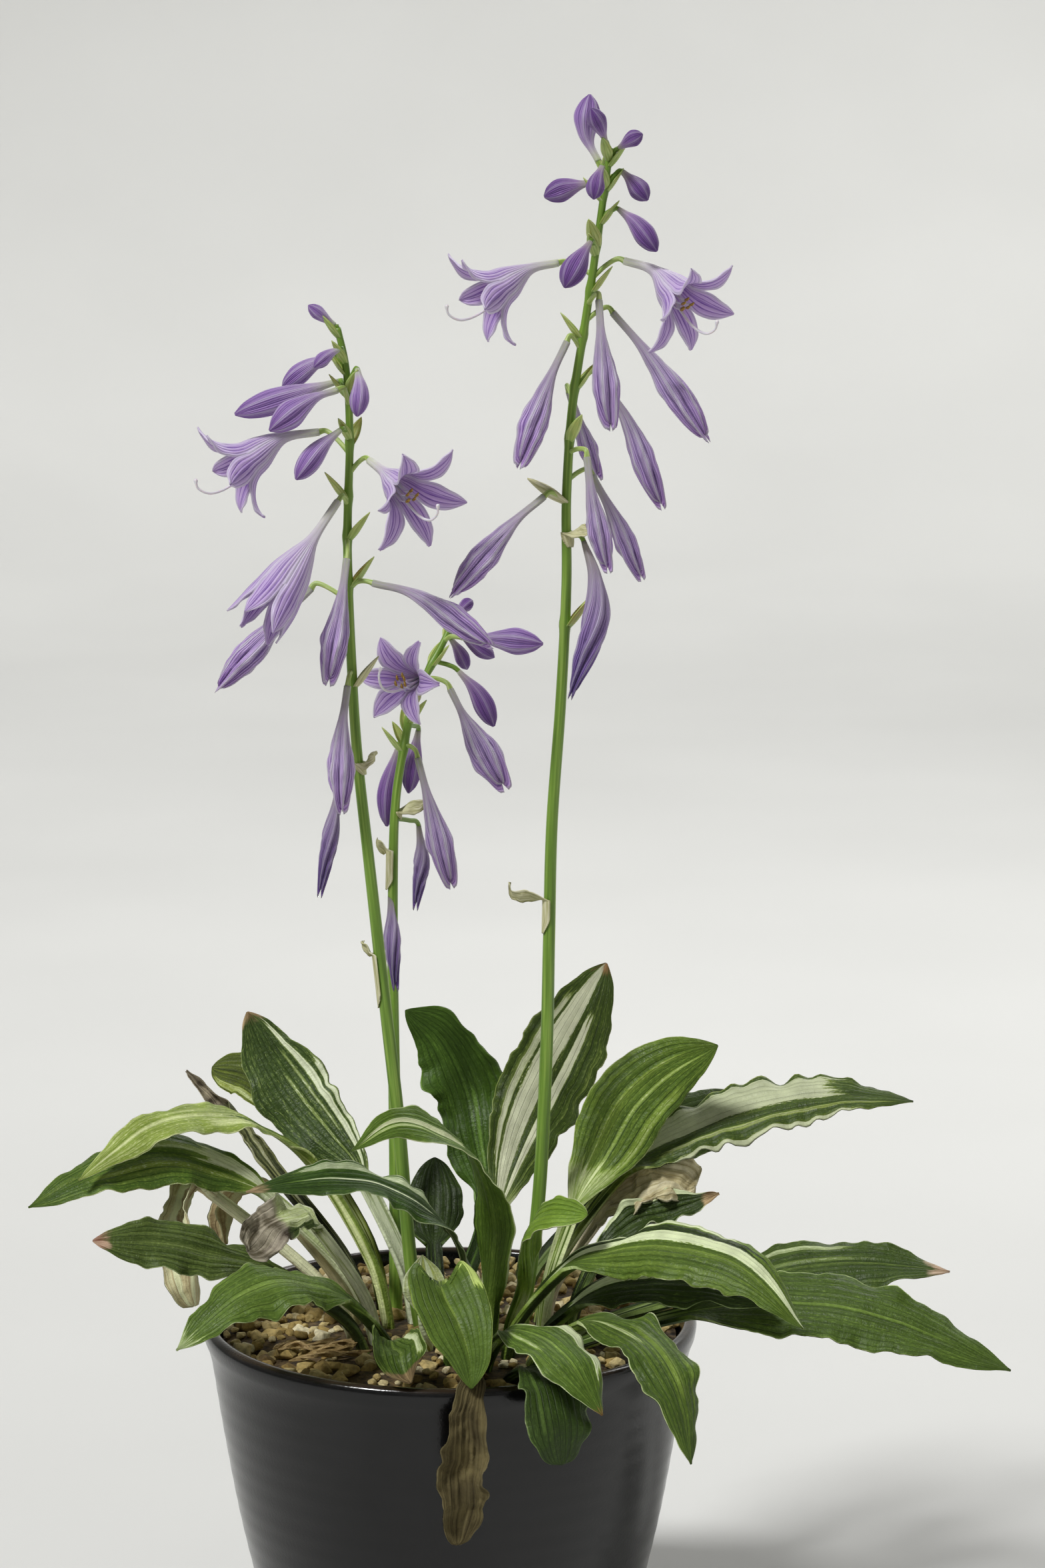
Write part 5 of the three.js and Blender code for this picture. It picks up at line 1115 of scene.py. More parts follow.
# %% Stem tables
STEMS = {
    "a": dict(
        path=[(-9, -16, 131), (-14, -13, 165), (-18, -14, 216), (-22, -14, 254), (-28, -14, 311),
              (-32, -13, 350), (-34, -12, 387), (-35, -11, 425), (-34, -10, 461), (-35, -10, 485),
              (-38, -10, 500)],
        small_buds=[
            dict(at=499, path=[(-39, -10, 501), (-43, -11, 504), (-48, -12, 508)], radius=1.5),
            dict(at=490, path=[(-37, -13, 493), (-41, -15, 491), (-46, -18, 487)], radius=1.6),
            dict(at=486, path=[(-39, -5, 490), (-48, -3, 486), (-58, 0, 478)], radius=2.2),
            dict(at=478, path=[(-38, -6, 481), (-52, -8, 477), (-74, -12, 470)], radius=2.8),
            dict(at=480, path=[(-31, -14, 486), (-30, -18, 479), (-31, -20, 470)], radius=2.2),
            dict(at=463, path=[(-37, -17, 465), (-44, -22, 459), (-52, -28, 449)], radius=2.6),
            dict(at=345, path=[(-38, -16, 341), (-41, -18, 324), (-45, -18, 302)], radius=1.9, old=True),
        ],
        blooms=dict(
            big_bud=dict(at=473, path=[(-38, -18, 479), (-47, -23, 476), (-61, -29, 466)], radius=3.4),
            open_left=dict(at=456, mouth=[(-45, -4, 463), (-58, -6, 461), (-69, -9, 454)],
                radius=7, spread=56, reach=17),
            open_right=dict(at=449, mouth=[(-27, -14, 454), (-22, -21, 451), (-15, -30, 446)],
                radius=7, spread=60, reach=18),
            spent_wide=dict(at=438, mouth=[(-38, -17, 440), (-45, -24, 430), (-57, -33, 412)],
                radius=8.6, spread=7, reach=18),
            spent_left=dict(at=404, path=[(-48, -7, 408), (-60, -8, 396), (-80, -12, 374)], radius=5.2),
            spent_front=dict(at=426, path=[(-35, -19, 420), (-37, -26, 404), (-41, -28, 379)], radius=5),
            spent_right=dict(at=409, path=[(-26, -15, 411), (-10, -20, 407), (14, -28, 392)], radius=5),
            spent_low=dict(at=379, path=[(-35, -19, 375), (-37, -25, 358), (-37, -25, 333)], radius=5),
        ),
        bracts=[(459, 60, 12), (440, 200, 13), (426, -20, 13), (409, 10, 14)],
        pale_bracts=[(374, 0, 14, 0.7)],
        dry_bracts=[(258, 165, 20, 3), (343, -30, 4, 4)]),
    "b": dict(
        path=[(25, -13, 131), (32, -11, 183), (35, -8, 238), (36, -6, 281), (37, -5, 323), (40, -5, 366),
              (42, -5, 408), (42, -5, 440), (44, -5, 472), (48, -6, 499), (52, -7, 526), (55, -8, 548),
              (57, -8, 562)],
        small_buds=[
            dict(at=560, path=[(55, -12, 565), (53, -16, 570), (50, -19, 576)], radius=2),
            dict(at=558, path=[(60, -9, 562), (64, -11, 565), (68, -12, 567)], radius=1.8),
            dict(at=546, path=[(50, -6, 550), (42, -4, 548), (34, -4, 545)], radius=2.5),
            dict(at=550, path=[(54, -14, 556), (52, -17, 551), (51, -20, 545)], radius=2),
            dict(at=549, path=[(61, -6, 554), (65, -6, 550), (70, -8, 544)], radius=2.2),
            dict(at=538, path=[(60, -9, 541), (66, -13, 536), (73, -17, 527)], radius=2.5),
            dict(at=527, path=[(50, -14, 530), (46, -19, 524), (41, -24, 515)], radius=2.8),
            dict(at=428, path=[(48, -8, 425), (52, -10, 412), (52, -12, 396), (44, -14, 372)], radius=3.0,
                 old=True),
        ],
        blooms=dict(
            top_bud=dict(at=561, path=[(53, 0, 557), (49, 4, 566), (50, 6, 580)], radius=3.3),
            open_left=dict(at=518, mouth=[(39, -2, 522), (29, -4, 520), (19, -7, 514)],
                radius=7, spread=56, reach=17),
            open_right=dict(at=517, mouth=[(62, -7, 523), (72, -11, 520), (80, -19, 512)],
                radius=7, spread=60, reach=17),
            spent_front=dict(at=508, path=[(53, -17, 510), (54, -24, 494), (57, -26, 468)], radius=5),
            spent_right=dict(at=502, path=[(58, -7, 505), (70, -11, 491), (90, -15, 463)], radius=5.2),
            spent_left=dict(at=492, path=[(42, -9, 495), (35, -14, 480), (26, -18, 454)], radius=5.2),
            spent_back_right=dict(at=478, path=[(53, 1, 482), (63, 2, 467), (75, 0, 438)], radius=4.6),
            spent_back=dict(at=474, path=[(43, 8, 476), (47, 13, 463), (53, 15, 446)], radius=3.6),
            spent_mid=dict(at=456, path=[(49, -13, 455), (51, -18, 440), (56, -19, 418)], radius=4.4),
            spent_mid_right=dict(at=446, path=[(51, 3, 447), (59, 4, 432), (68, 3, 412)], radius=4.2),
            spent_far_left=dict(at=438, path=[(34, -11, 441), (22, -16, 431), (3, -22, 409)], radius=5),
        ),
        bracts=[(528, 250, 13), (512, 0, 12), (496, 190, 12), (478, 20, 12), (460, -60, 13), (546, 60, 9),
                (394, 0, 15)],
        pale_bracts=[(439, 187, 21, 0.35)],
        dry_bracts=[(284, 192, 12, 11), (423, -55, 5, 12)]),
    "c": dict(
        path=[(-20, 7, 131), (-20, 14, 188), (-21, 28, 258), (-21, 40, 300), (-20, 44, 323),
              (-17, 50, 342), (-14, 54, 356), (-9, 57, 367), (-3, 61, 378), (1, 64, 386)],
        small_buds=[
            dict(at=382, path=[(0, 67, 379), (3, 69, 374), (6, 71, 367)], radius=1.8),
            dict(at=384, path=[(3, 68, 381), (9, 71, 376), (16, 74, 371)], radius=1.9),
            dict(at=385, path=[(2, 66, 388), (5, 68, 391), (8, 70, 393)], radius=1.6),
            dict(at=372, path=[(3, 60, 368), (10, 58, 360), (16, 56, 348)], radius=2.5),
            dict(at=344, path=[(-19, 60, 341), (-23, 64, 325), (-24, 64, 309)], radius=2.6),
            dict(at=349, path=[(-12, 61, 346), (-14, 66, 334), (-16, 67, 321)], radius=2.3),
            dict(at=316, path=[(-12, 56, 311), (-11, 60, 297), (-13, 60, 281)], radius=1.9, old=True),
            dict(at=294, path=[(-22, 37, 289), (-21, 26, 274), (-20, 24, 258)], radius=1.9, old=True),
        ],
        blooms=dict(
            open_star=dict(at=362, mouth=[(-8, 52, 364), (-11, 46, 367), (-15, 39, 368)],
                radius=5.4, spread=70, reach=15),
            long_bud=dict(at=379, path=[(4, 58, 381), (15, 54, 381), (34, 48, 380)], radius=3.4),
            spent_right=dict(at=366, path=[(0, 49, 363), (7, 44, 350), (19, 38, 330)], radius=5.8),
            spent_low_right=dict(at=342, path=[(-12, 46, 338), (-7, 42, 319), (0, 38, 293)], radius=4.8),
        ),
        bracts=[(370, 60, 11), (350, -30, 12), (340, 190, 12)],
        pale_bracts=[(356, -75, 13, 0.7)],
        dry_bracts=[(291, 190, 14, 3), (316, 0, 3, 8)]),
}
print(sum(len(stem["blooms"]) for stem in STEMS.values()), "large flowers on", len(STEMS), "stems")

# %% [markdown]
# ## Petals, stem and bracts, the surfaces
# A hosta tepal is thin and holds water, so light passes a little way through it: that is the
# subsurface part. Violet veins run along it, close and parallel, the margin is nearly white
# and the tube fades to a greenish white where it joins the stalk. Spent flowers keep the veins
# but lose colour and wrinkle. Stem and bracts are waxy green; old bracts dry to pale straw.

# %% Tepal material


def tepal_material(name, hues, vein, tepals, wrinkle, rough=0.5, vein_share=0.75, pale_edge_and_ridge_light=0.5, veins=6):
    """Thin juicy tepal: colours from base to tip, darker veins, pale margin and dark middle line (partly
    painted highlight on ridges, partly painted shade in creases), fine wrinkles.
    """
    made, tree, shader = new_material(name, IOR=1.4, Subsurface_Weight=0.2, Subsurface_Scale=0.0025,
                                      Subsurface_Radius=(1.0, 0.7, 1.2), Sheen_Weight=0.15)
    uv = add(tree, "UVMap", uv_map=UV_NAME)
    axes = add(tree, "SeparateXYZ", {0: uv})
    along = axes.outputs[1]
    around = add(tree, "Math", {0: axes.outputs[0], 1: float(tepals)}, operation="MULTIPLY")
    across = add(tree, "Math", {0: around}, operation="FRACT")
    fibre = drawn_noise(tree, uv, tepals * 9.0, 3.0, 4.0)
    cloudy = add(tree, "TexNoise", {"Vector": uv, "Scale": 7.0, "Detail": 3.0})
    body = add(tree, "ValToRGB", {0: along}, stops=list(zip((0.03, 0.28, 0.6, 0.95), hues)))
    # Veins, stronger outwards and broken here and there.
    wander = add(tree, "Math", {0: fibre, 1: 0.1, 2: across}, operation="MULTIPLY_ADD")
    phase = add(tree, "Math", {0: wander, 1: 2 * math.pi * veins}, operation="MULTIPLY")
    lines = add(tree, "Math", {0: phase}, operation="COSINE")
    sharp = add(tree, "MapRange", {0: lines, 1: 0.45, 2: 1.0, 4: vein_share}, **SOFT)
    fades = add(tree, "MapRange", {0: along, 1: 0.12, 2: 0.5}, **SOFT)
    broken = add(tree, "MapRange", {0: cloudy, 1: 0.3, 2: 0.65, 3: 0.35})
    seen = add(tree, "Math", {0: sharp, 1: fades}, operation="MULTIPLY")
    seen = add(tree, "Math", {0: seen, 1: broken}, operation="MULTIPLY")
    skin = add(tree, "Mix", {0: seen, MIX_A: body, MIX_B: srgb(vein)}, **COLOUR)
    # The margin is pale. On pleated buds and spent flowers it lies on the ridges, and there it is partly
    # a painted highlight. One dark line runs down the middle, in the crease. It is partly the tepal's own
    # deeper colour and partly painted shade.
    from_middle = add(tree, "Math", {0: across, 1: 0.5}, operation="SUBTRACT")
    off = add(tree, "Math", {0: from_middle}, operation="ABSOLUTE")
    edge = add(tree, "MapRange", {0: off, 1: 0.3, 2: 0.48, 4: pale_edge_and_ridge_light}, **SOFT)
    skin = add(tree, "Mix", {0: edge, MIX_A: skin.outputs[MIX_RESULT], MIX_B: srgb("#e9e4f2")}, **COLOUR)
    groove = add(tree, "MapRange", {0: off, 1: 0.09, 2: 0.01, 4: 0.55}, **SOFT)
    groove = add(tree, "Math", {0: groove, 1: fades}, operation="MULTIPLY")
    skin = add(tree, "Mix", {0: groove, MIX_A: skin.outputs[MIX_RESULT], MIX_B: srgb(vein)}, **COLOUR)
    gloss = add(tree, "MapRange", {0: cloudy, 1: 0.3, 2: 0.7, 3: rough - 0.08, 4: rough + 0.1})
    height = add(tree, "Math", {0: lines, 1: -0.35, 2: fibre}, operation="MULTIPLY_ADD")
    relief = add(tree, "Bump", {"Strength": wrinkle, "Distance": 0.0007, "Height": height})
    join(tree, shader, Base_Color=skin.outputs[MIX_RESULT], Roughness=gloss, Normal=relief)
    return made


# Fresh open tepal: lilac, greenish white towards the stalk, with strong violet veins.
OPEN_TEPAL = tepal_material("lavender tepal", ("#e6e9d0", "#dccbea", "#caafe5", "#ceb5e8"), "#65369c", 1, 0.5,
                            vein_share=0.95)
# Closed bud: the same skin, deeper in colour and greenish at its foot.
BUD_TEPAL = tepal_material("lavender bud", ("#cdd5b0", "#c5add8", "#ab89ca", "#936cb2"), "#56308a", 6, 0.5,
                           vein_share=0.95, pale_edge_and_ridge_light=0.35)
# Small young bud of the two rear stems: the deepest violet.
DEEP_BUD_TEPAL = tepal_material("violet bud", ("#b9b2a8", "#a07eb8", "#835aa4", "#744c96"), "#41206a", 6, 0.5,
                                vein_share=0.95, pale_edge_and_ridge_light=0.22)
# Spent flower: pale, limp and wrinkled, its veins still dark, with a strong painted highlight on its pleat
# ridges.
SPENT_TEPAL = tepal_material("spent tepal", ("#e6e9d2", "#ead9f3", "#d8bef0", "#caa6e6"), "#62309a", 6, 0.9,
                             rough=0.6, vein_share=0.85, pale_edge_and_ridge_light=0.7, veins=8)
# Shrivelled flower: dry and dull, dark at its tip.
OLD_TEPAL = tepal_material("shrivelled tepal", ("#d5cfbe", "#c8b4d9", "#a487c5", "#6c4f9e"), "#4b327c", 6,
                           0.9, rough=0.65, pale_edge_and_ridge_light=0.4, veins=8)

# %% Stem, bract, filament and anther materials


def growing_material(name, hues, across, along, rough, bump, **uniform):
    """Plant skin with fibres drawn out along it, `across` and `along` to each piece."""
    made, tree, shader = new_material(name, **uniform)
    uv = add(tree, "UVMap", uv_map=UV_NAME)
    fibre = drawn_noise(tree, uv, across, along, 4.0)
    tone = add(tree, "ValToRGB", {0: fibre}, stops=list(zip((0.28, 0.5, 0.72), hues)))
    gloss = add(tree, "MapRange", {0: fibre, 1: 0.3, 2: 0.7, 3: rough - 0.06, 4: rough + 0.1})
    relief = add(tree, "Bump", {"Strength": bump, "Distance": 0.0003, "Height": fibre})
    join(tree, shader, Base_Color=tone, Roughness=gloss, Normal=relief)
    return made


# Waxy flower stem: satin fresh green, with long paler fibres about 1 mm apart.
STEM_SKIN = growing_material("waxy flower stem", ("#587829", "#759839", "#9dba58"), 12.0, 9.0, 0.36, 0.25,
                             IOR=1.45, Subsurface_Weight=0.1, Subsurface_Scale=0.002)
# Living bract: thinner and yellower than the stem, veined lengthwise.
BRACT_SKIN = growing_material("green bract", ("#7b9a42", "#a6bf66", "#d2dc9a"), 9.0, 1.6, 0.45, 0.4,
                              Subsurface_Weight=0.15, Subsurface_Scale=0.002)
# Dried bract: papery, matt, pale greenish straw with darker fibres.
DRY_SKIN = growing_material("dried bract", ("#94935f", "#c8c598", "#e8e4cb"), 9.0, 2.2, 0.75, 0.8)
# Stamen thread and style: smooth, moist and nearly white.
FILAMENT = growing_material("white filament", ("#d9d4dc", "#ece8ee", "#f6f4f6"), 3.0, 5.0, 0.4, 0.1,
                            Subsurface_Weight=0.2, Subsurface_Scale=0.001)
# Anther: a dry golden pod dusted with pollen.
ANTHER = growing_material("golden anther", ("#7a5a22", "#b08a3c", "#d8b867"), 6.0, 6.0, 0.8, 0.5)
print("flower and stem materials are ready")

# %% [markdown]
# ## Closed flowers
# A bud and a spent flower are both a closed tube of six tepals, so both come from one tube.
# The bud swells to a full, smooth body with shallow seams. The spent flower has fallen in:
# six deep pleats, wrinkles across them, a slight twist, and an end where the six tips stand
# apart. `shape` gives the radius round the tube and how far each tip is pushed out.

# %% Bud and spent flower
LARGE_BUD, SMALL_BUD = 1.5, 1.65              # fuller than the slim bodies of the model
WITHERED_BUD = 1.7
SPENT_TWIST = 0.6                             # radians from base to tip
SEAM_DEPTH = 0.2                              # share of the radius


def bud_shape(angle, share):
    """Six shallow seams, deeper towards the tip."""
    seams = abs(math.cos(3 * angle))
    return 1 - SEAM_DEPTH * (1 - seams) * smooth(2 * share - 0.3), 0.0


def spent_shape(seed, depth=0.42):
    """Six deep pleats with wrinkles, and tips of uneven length."""
    def shape(angle, share):
        pleat = abs(math.cos(3 * angle))
        fallen = smooth(1.5 * share - 0.25)
        crinkle = noise.noise(Vector((3 * math.cos(angle), 3 * math.sin(angle), 9 * share + seed)))
        factor = 1 - depth * (1 - pleat) * fallen + 0.18 * crinkle * fallen
        uneven = 0.6 + 0.5 * math.cos(2 * angle + seed)
        push = 4.2 * uneven * pleat ** 2 * smooth((share - 0.8) / 0.16)
        return factor, push - 1.2 * smooth((share - 0.95) / 0.05)
    return shape


def closed_flower(bm, flower, seed, is_bud):
    """A large bud or a spent flower, whose width along its line is a short table."""
    line, r = Line(flower["path"]), flower["radius"]
    if is_bud:
        r *= LARGE_BUD
        width = table((0, 1.2), (0.24, 1.45), (0.46, 0.66 * r), (0.68, r), (0.88, 0.66 * r), (1, 0.1 * r))
        tube(bm, line, width, 36, 44, bud_shape)
        return
    width = table((0, 1.3), (0.24, 1.5), (0.44, 0.62 * r), (0.66, r), (0.83, 0.85 * r), (0.94, 0.5 * r),
                  (1, 0.16 * r))
    tube(bm, line, width, 60, 52, spent_shape(seed), twist=SPENT_TWIST)


# %% [markdown]
# ## Open bells
# Six tepals are joined in their lower half and free above, so the tube and the star are made
# of the same six sheets: each runs up the tube as a sixth of its wall, then bends outwards with
# its own curve. Their shared edges are merged up to the mouth, and `solidify` gives the flesh.
# Stamens and the long upturned style stand inside, rooted in the bottom of the tube.

# %% Six joined tepals
TUBE_ROWS, PETAL_ROWS, PETAL_COLUMNS = 16, 18, 10
BELL_ROWS = [0.0, *(0.5 * i / TUBE_ROWS for i in range(TUBE_ROWS + 1)),
             *(0.5 + 0.5 * (i + 1) / PETAL_ROWS for i in range(PETAL_ROWS))]
FLESH = 0.55                                  # mm
FLUTE = 0.07                                  # how far the seams of the tube lie in
WIDE_TEPAL, NARROW_TEPAL = 5.0, 4.1           # mm, half widths; they take turns
TILT_VARIES = 14                              # degrees; no two tepals open alike
HALF_SECTOR = 30                              # degrees, half of a sixth of the way round


def level_frame(along):
    """Two directions square to `along`, the first as upright as it can be."""
    side = square_to(along, level_reference(along))
    return side, along.cross(side)


def bell_tube(line, radius):
    """Rings of the tube: centre, two sideways directions and radius."""
    wall = table((0, 1.4), (0.42, 1.9), (0.66, 0.58 * radius), (0.84, 0.86 * radius), (1, radius))
    rings = []
    for i in range(TUBE_ROWS + 1):
        distance = line.length * i / TUBE_ROWS
        rings.append((line.at(distance), *level_frame(line.along(distance)), wall(i / TUBE_ROWS)))
    return rings


def tepal_curve(radius, reach, spread, tilt):
    """Distance from the axis, height above the mouth and slope along a free tepal."""
    stations = [(radius, 0.0, 0.0)]
    step = reach / PETAL_ROWS
    for i in range(PETAL_ROWS):
        bend = math.radians(lerp(min(20, spread), tilt * 1.45, (i + 0.5) / PETAL_ROWS))
        rho, zeta, _ = stations[-1]
        stations.append((rho + step * math.sin(bend), zeta + step * math.cos(bend), bend))
    return stations


def open_bell(bm, flower, seed):
    """Six sheets up the tube and out into the star; returns what the stamens stand on."""
    line, r, spread = Line(flower["mouth"]), flower["radius"], flower["spread"]
    rings = bell_tube(line, r)
    axis = line.along(line.length)
    mouth, e1, e2 = line.at(line.length), *level_frame(axis)

    for k in range(6):
        angle = math.pi / 3 * k + math.pi / 6
        out = e1 * math.cos(angle) + e2 * math.sin(angle)
        around = axis.cross(out)
        half = WIDE_TEPAL if k % 2 == 0 else NARROW_TEPAL
        span_at = table((0, r / 2), (0.33, half), (0.68, 0.74 * half), (0.88, 0.34 * half), (1, 0.06 * half))
        stations = tepal_curve(r, flower["reach"], spread, spread + TILT_VARIES * math.sin(2.4 * k + seed))

        def place(i, j):
            # c runs from edge to edge of this tepal, a sixth of the way round.
            c = 2 * j / PETAL_COLUMNS - 1
            sector = math.radians(HALF_SECTOR * c)
            flute = 1 - FLUTE * c * c
            if i == 0:
                return rings[0][0]
            if i <= TUBE_ROWS + 1:
                centre, side, across, radius = rings[i - 1]
                turn = angle + sector
                return centre + (side * math.cos(turn) + across * math.sin(turn)) * radius * flute
            x = (i - TUBE_ROWS - 1) / PETAL_ROWS
            rho, zeta, bend = stations[i - TUBE_ROWS - 1]
            free = smooth(2 * x)
            fluted = lerp(flute, 1.0, free)
            span = min(span_at(x), rho * 0.56)
            inward = axis * math.sin(bend) - out * math.cos(bend)
            sag = (1 - math.cos(sector) * flute) * r * (1 - free)
            cup = 0.3 * span * c * c * free - 0.6 * free * (1 - x) * math.exp(-(c / 0.18) ** 2)
            frill = 0.4 * free * c ** 4 * math.sin(13 * x + seed + k)
            point = mouth + axis * zeta + out * (rho - sag)
            point += around * (span * math.sin(sector) / 0.5 * fluted)
            return point + inward * (cup + frill)

        laid_grid(bm, len(BELL_ROWS) - 1, PETAL_COLUMNS, place, BELL_ROWS)
    bmesh.ops.remove_doubles(bm, verts=bm.verts[:], dist=2 * SAME_PLACE)
    bmesh.ops.solidify(bm, geom=bm.faces[:], thickness=FLESH * MM)
    return line, mouth, axis, e1, e2


# %% Stamens, style and flower stalk
STALK_RISE = UP * 0.8                         # mm, a flower stalk arches up a little


def stamens(bm, line, mouth, axis, e1, e2):
    """Six threads with their anthers, and the long style that turns up at its end."""
    root = line.at(line.length * 0.5)
    for k in range(6):
        angle = math.pi / 3 * k
        offset = e1 * math.cos(angle) + e2 * math.sin(angle)
        far = mouth + offset * 2.0 + axis * (2.4 + 0.8 * (k % 3)) - e1 * 1.6
        middle = mouth + offset * 1.9 - e1 * 2.0
        thread = Line([root + offset, middle, far, far + axis * 2 + e1 * 1.2])
        tube(bm, thread, table((0, 0.45), (0.6, 0.38), (1, 0.28)), 8, 16, material=1)
        pod = Line([far + axis * 1.4 + e1 * 0.4, far + axis * 2.2 + e1 * 1.3, far + axis * 2.6 + e1 * 2.5])
        tube(bm, pod, table((0, 0.2), (0.3, 0.5), (0.7, 0.46), (1, 0.15)), 8, 8, material=2)
    style = Line([root, mouth - e1 * 2.5, mouth + axis * 11 - e1 * 4, mouth + axis * 18 - e1 * 2.5,
                  mouth + axis * 21 + e1 * 1.5, mouth + axis * 20 + e1 * 5])
    tube(bm, style, table((0, 0.5), (0.7, 0.48), (0.94, 0.42), (0.98, 0.75), (1, 0.5)), 10, 48, material=1)


def pedicel(bm, stem, height, flower_path):
    """The stalk of one flower, from inside the stem to the flower's base."""
    start, flower = stem.at_height(height), Line(flower_path)
    end, along = flower.at(0), flower.along(0)
    before = end - along * 2.6
    middle = start.lerp(before, 0.55) + STALK_RISE
    stalk = Line([start, middle, before, end + along * 0.6])
    tube(bm, stalk, table((0, 1.1), (0.15, 0.9), (0.75, 0.9), (1, 1.25)), 12, 24, material=1)


# %% [markdown]
# ## Stems with their bracts and small buds
# The stem is a long tube that thins towards its top. Under every flower sits a bract, a small
# boat-shaped leaf that clasps the stem; it is a folded grid given a little thickness. A small
# bud is a thin stalk with a body of its own, and stands on a bract like the large flowers.

# %% Bracts and small buds
BRACT_ROWS, DRY_ROWS, BRACT_COLUMNS, BRACT_THICKNESS = 12, 28, 8, 0.4
SHEATH_RADIUS = 2.75                          # mm, just outside the stem
USUAL_BRACT = 13                              # mm, the size that the tables below are for
BRACT_HALF = table((0, 1.5), (0.35, 3.0), (0.75, 1.8), (1, 0.15))
BRACT_AWAY = table((0, 0.2), (0.45, 4.2), (1, 8.6))
BRACT_RISE = table((0, -0.1), (0.45, 0.45), (1, 1.1))


def level_direction(angle):
    """The level direction at an angle in radians."""
    return Vector((math.cos(angle), math.sin(angle), 0))


def bract(bm, stem, height, turn, size, upright=0.7, material=1):
    """A small boat-shaped leaf that leaves the stem at a height."""
    centre, scale = stem.at_height(height), size / USUAL_BRACT
    out = level_direction(math.radians(turn))
    sideways = UP.cross(out)

    def place(i, j):
        share, c = i / BRACT_ROWS, 2 * j / BRACT_COLUMNS - 1
        tilt = 1.2 - lerp(0.35, 0.75, share)
        inward = UP * math.cos(tilt) - out * math.sin(tilt)
        half = BRACT_HALF(share) * max(0.75, scale)
        point = centre + out * BRACT_AWAY(share) * scale + UP * (BRACT_RISE(share) * size * upright)
        return point + sideways * (0.9 * c * half) + inward * half * (0.7 * abs(c) ** 1.4 - 0.3)

    _, faces = laid_grid(bm, BRACT_ROWS, BRACT_COLUMNS, place, material=material)
    bmesh.ops.solidify(bm, geom=faces, thickness=BRACT_THICKNESS * MM)


def dry_bract(bm, stem, height, turn, clasp, stand, seed):
    """A papery bract: a sheath around half the stem, then a ribbon that curls away from it."""
    out = level_direction(math.radians(turn))
    sideways = UP.cross(out)
    top = stem.at_height(height + clasp)
    # How far out from the stem and how far up the ribbon goes, point by point.
    places = [(2.4, -2), (3.2, 0), (2.6 + 0.5 * stand, 1.5), (2.6 + stand, 2.5),
              (2.2 + 1.1 * stand, 3 + 0.35 * stand)]
    ribbon = Line([top + out * away + UP * above for away, above in places])
    half = table((0, 2.2), (0.35, 2.4), (0.75, 1.5), (1, 0.3))
    sheathed = clasp / (clasp + ribbon.length)

    def place(i, j):
        share, c = i / DRY_ROWS, 2 * j / BRACT_COLUMNS - 1
        centre = stem.at_height(height + clasp * min(1.0, share / sheathed))
        round_it = math.radians(turn + 82 * c * smooth(0.4 + 3 * share))
        sheath = centre + level_direction(round_it) * SHEATH_RADIUS
        free = max(0.0, (share - sheathed) / (1 - sheathed))
        lean = lerp(1.3, 0.25, smooth(2 * free))
        across = UP * math.cos(lean) + sideways * math.sin(lean)
        curl = out * (0.8 * c * c)
        loose = ribbon.at(free * ribbon.length) + across * c * half(free) + curl
        loose += noise.noise_vector(loose / 2.5 + Vector((seed, c, 0))) * 0.7
        return sheath.lerp(loose, smooth(free / 0.25))

    _, faces = laid_grid(bm, DRY_ROWS, BRACT_COLUMNS, place, material=2)
    bmesh.ops.solidify(bm, geom=faces, thickness=BRACT_THICKNESS * MM)


def stalked_bud(bm, stem, bud, seed):
    """A small bud, or an old shrivelled flower, with its stalk."""
    start, first, r = stem.at_height(bud["at"]), Vector(bud["path"][0]), bud["radius"]
    middle = start.lerp(first, 0.6) + STALK_RISE
    line = Line([start, middle, *bud["path"]])
    foot = line.knot(2) / line.length
    tube(bm, line, lambda share: 0.9, 10, 14, last=foot + 0.02)
    body = Line(bud["path"])
    if bud.get("old"):
        r *= WITHERED_BUD
        width = table((0, 0.9), (0.25, 0.5 * r), (0.5, r), (0.75, 0.8 * r), (0.92, 0.4 * r), (1, 0.2 * r))
        tube(bm, body, width, 36, 36, spent_shape(seed, 0.5), material=4, twist=3 * SPENT_TWIST)
        return
    r *= SMALL_BUD
    width = table((0, 0.95), (0.2, 0.25 * r + 0.6), (0.48, 0.86 * r), (0.68, r), (0.88, 0.68 * r),
                  (1, 0.12 * r))
    tube(bm, body, width, 30, 28, bud_shape, material=3)


# %% One stem with all that is grown on it
STEM_FOOT, STEM_TOP = 2.5, 1.2                # mm, radius
NODE_SWELLING, NODE_LENGTH = 0.35, 2.2        # mm, the thicker place above each bract
BUD_BRACT = 10.5                              # mm


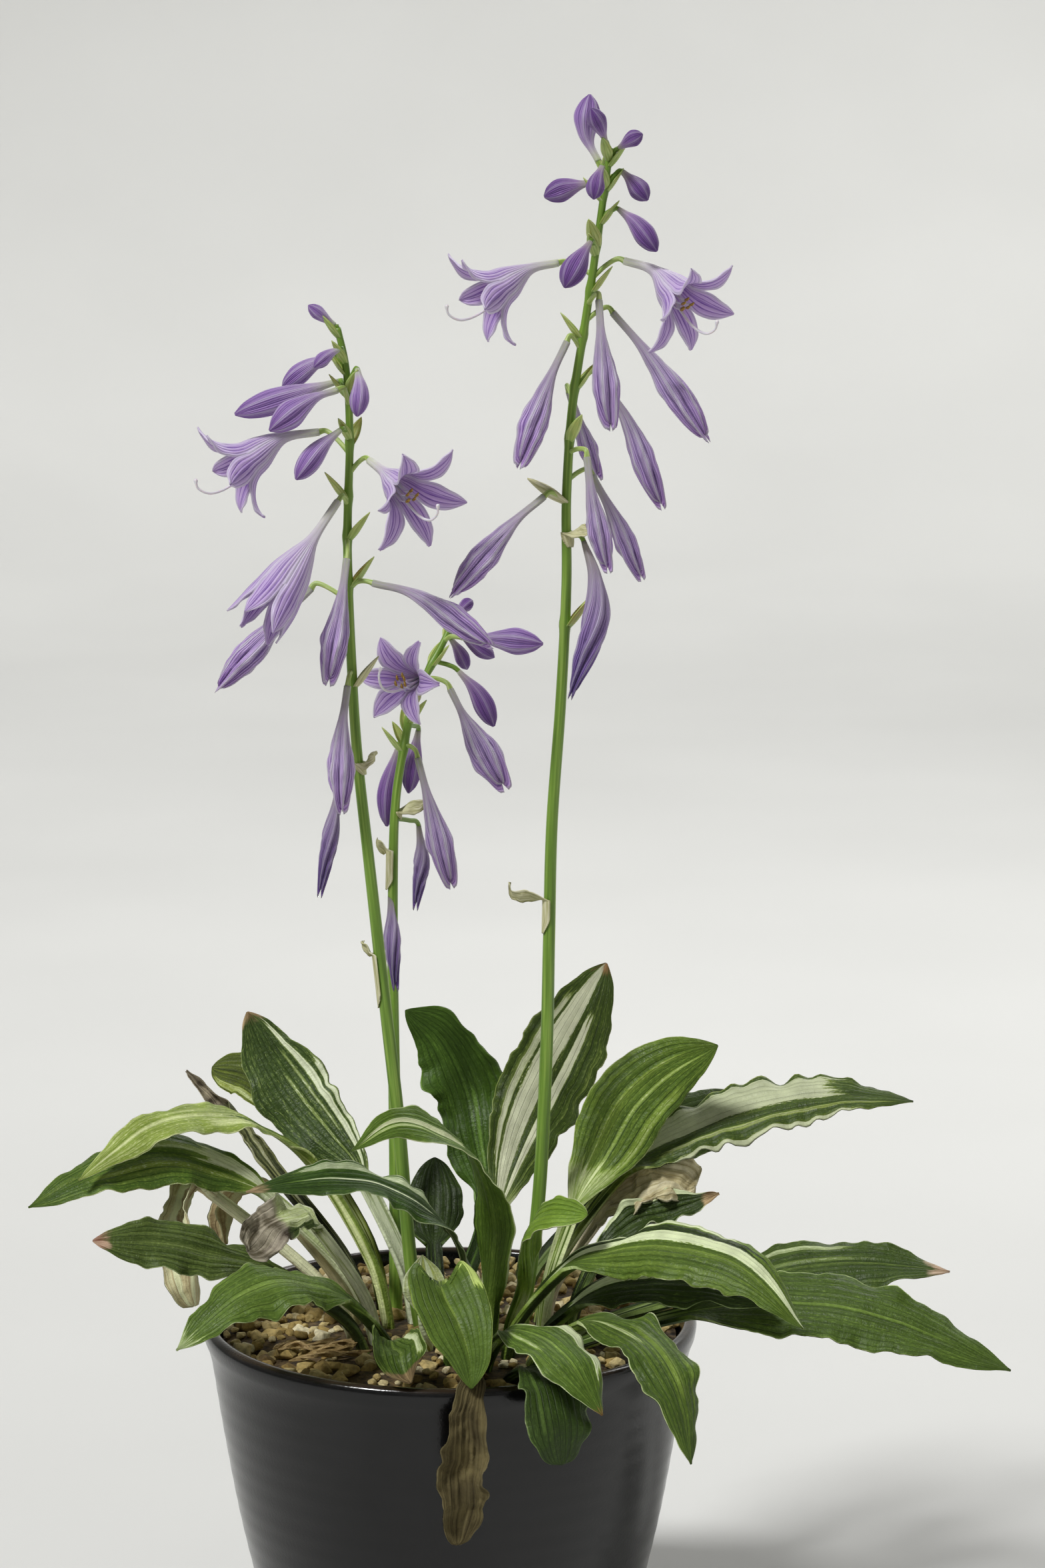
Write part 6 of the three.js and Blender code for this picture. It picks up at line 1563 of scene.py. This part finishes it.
def grow_stem(letter, scape):
    """The stem, its small buds, the stalks of its large flowers and its bracts, as one piece."""
    stem = Line(scape["path"])
    bm = new_mesh()

    def width(share):
        height = stem.at(share * stem.length).z
        swollen = sum(NODE_SWELLING * math.exp(-((height - joint - 1) / NODE_LENGTH) ** 2)
                      for joint, *_ in scape["bracts"])
        return lerp(STEM_FOOT, STEM_TOP, share ** 1.4) + swollen

    tube(bm, stem, width, 24, 300)
    for seed, bud in enumerate(scape["small_buds"]):
        stalked_bud(bm, stem, bud, seed)
        if not bud.get("old"):
            side = Vector(bud["path"][-1]) - stem.at_height(bud["at"])
            bract(bm, stem, bud["at"] - 2.0, math.degrees(math.atan2(side.y, side.x)) + 12, BUD_BRACT)
    for flower in scape["blooms"].values():
        pedicel(bm, stem, flower["at"], flower.get("path") or flower["mouth"])
    for growing in scape["bracts"]:
        bract(bm, stem, *growing)
    for yellowing in scape["pale_bracts"]:
        bract(bm, stem, *yellowing, material=2)
    for seed, dried in enumerate(scape["dry_bracts"]):
        dry_bract(bm, stem, *dried, seed)
    bmesh.ops.recalc_face_normals(bm, faces=bm.faces[:])
    skins = [STEM_SKIN, BRACT_SKIN, DRY_SKIN, BUD_TEPAL if letter == "a" else DEEP_BUD_TEPAL, OLD_TEPAL]
    return finished(f"stem_{letter}", bm, skins, f"scape_{letter}", "stem_green")


# %% Growing the stems and their flowers
STAR_SPREAD = 30                              # degrees; a bell that opens wider shows its stamens
for letter, scape in STEMS.items():
    grown = grow_stem(letter, scape)
    for seed, (name, flower) in enumerate(scape["blooms"].items()):
        bm = new_mesh()
        if "mouth" in flower:
            parts = open_bell(bm, flower, seed)
            if flower["spread"] > STAR_SPREAD:
                stamens(bm, *parts)
            skins, slot = [OPEN_TEPAL, FILAMENT, ANTHER], "lavender_petal"
        else:
            is_bud = "bud" in name
            closed_flower(bm, flower, seed, is_bud)
            skins, slot = [BUD_TEPAL if is_bud else SPENT_TEPAL], "pale_lavender_petal"
        finished(f"flower_{letter}_{name}", bm, skins, f"bloom_{letter}_{name}", slot)
    print("stem", letter, "has", len(grown.data.polygons), "faces and", len(scape["blooms"]), "flowers")

# %% [markdown]
# The dressed plant has to fill the same box as the CAD model. How far it reaches beyond that box
# on each side is printed, in mm.

low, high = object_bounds()
grew = [round(1000 * v, 1) for v in (*(cad_low - low), *(high - cad_high))]
print("beyond the CAD box, in mm, low x y z then high x y z:", grew)
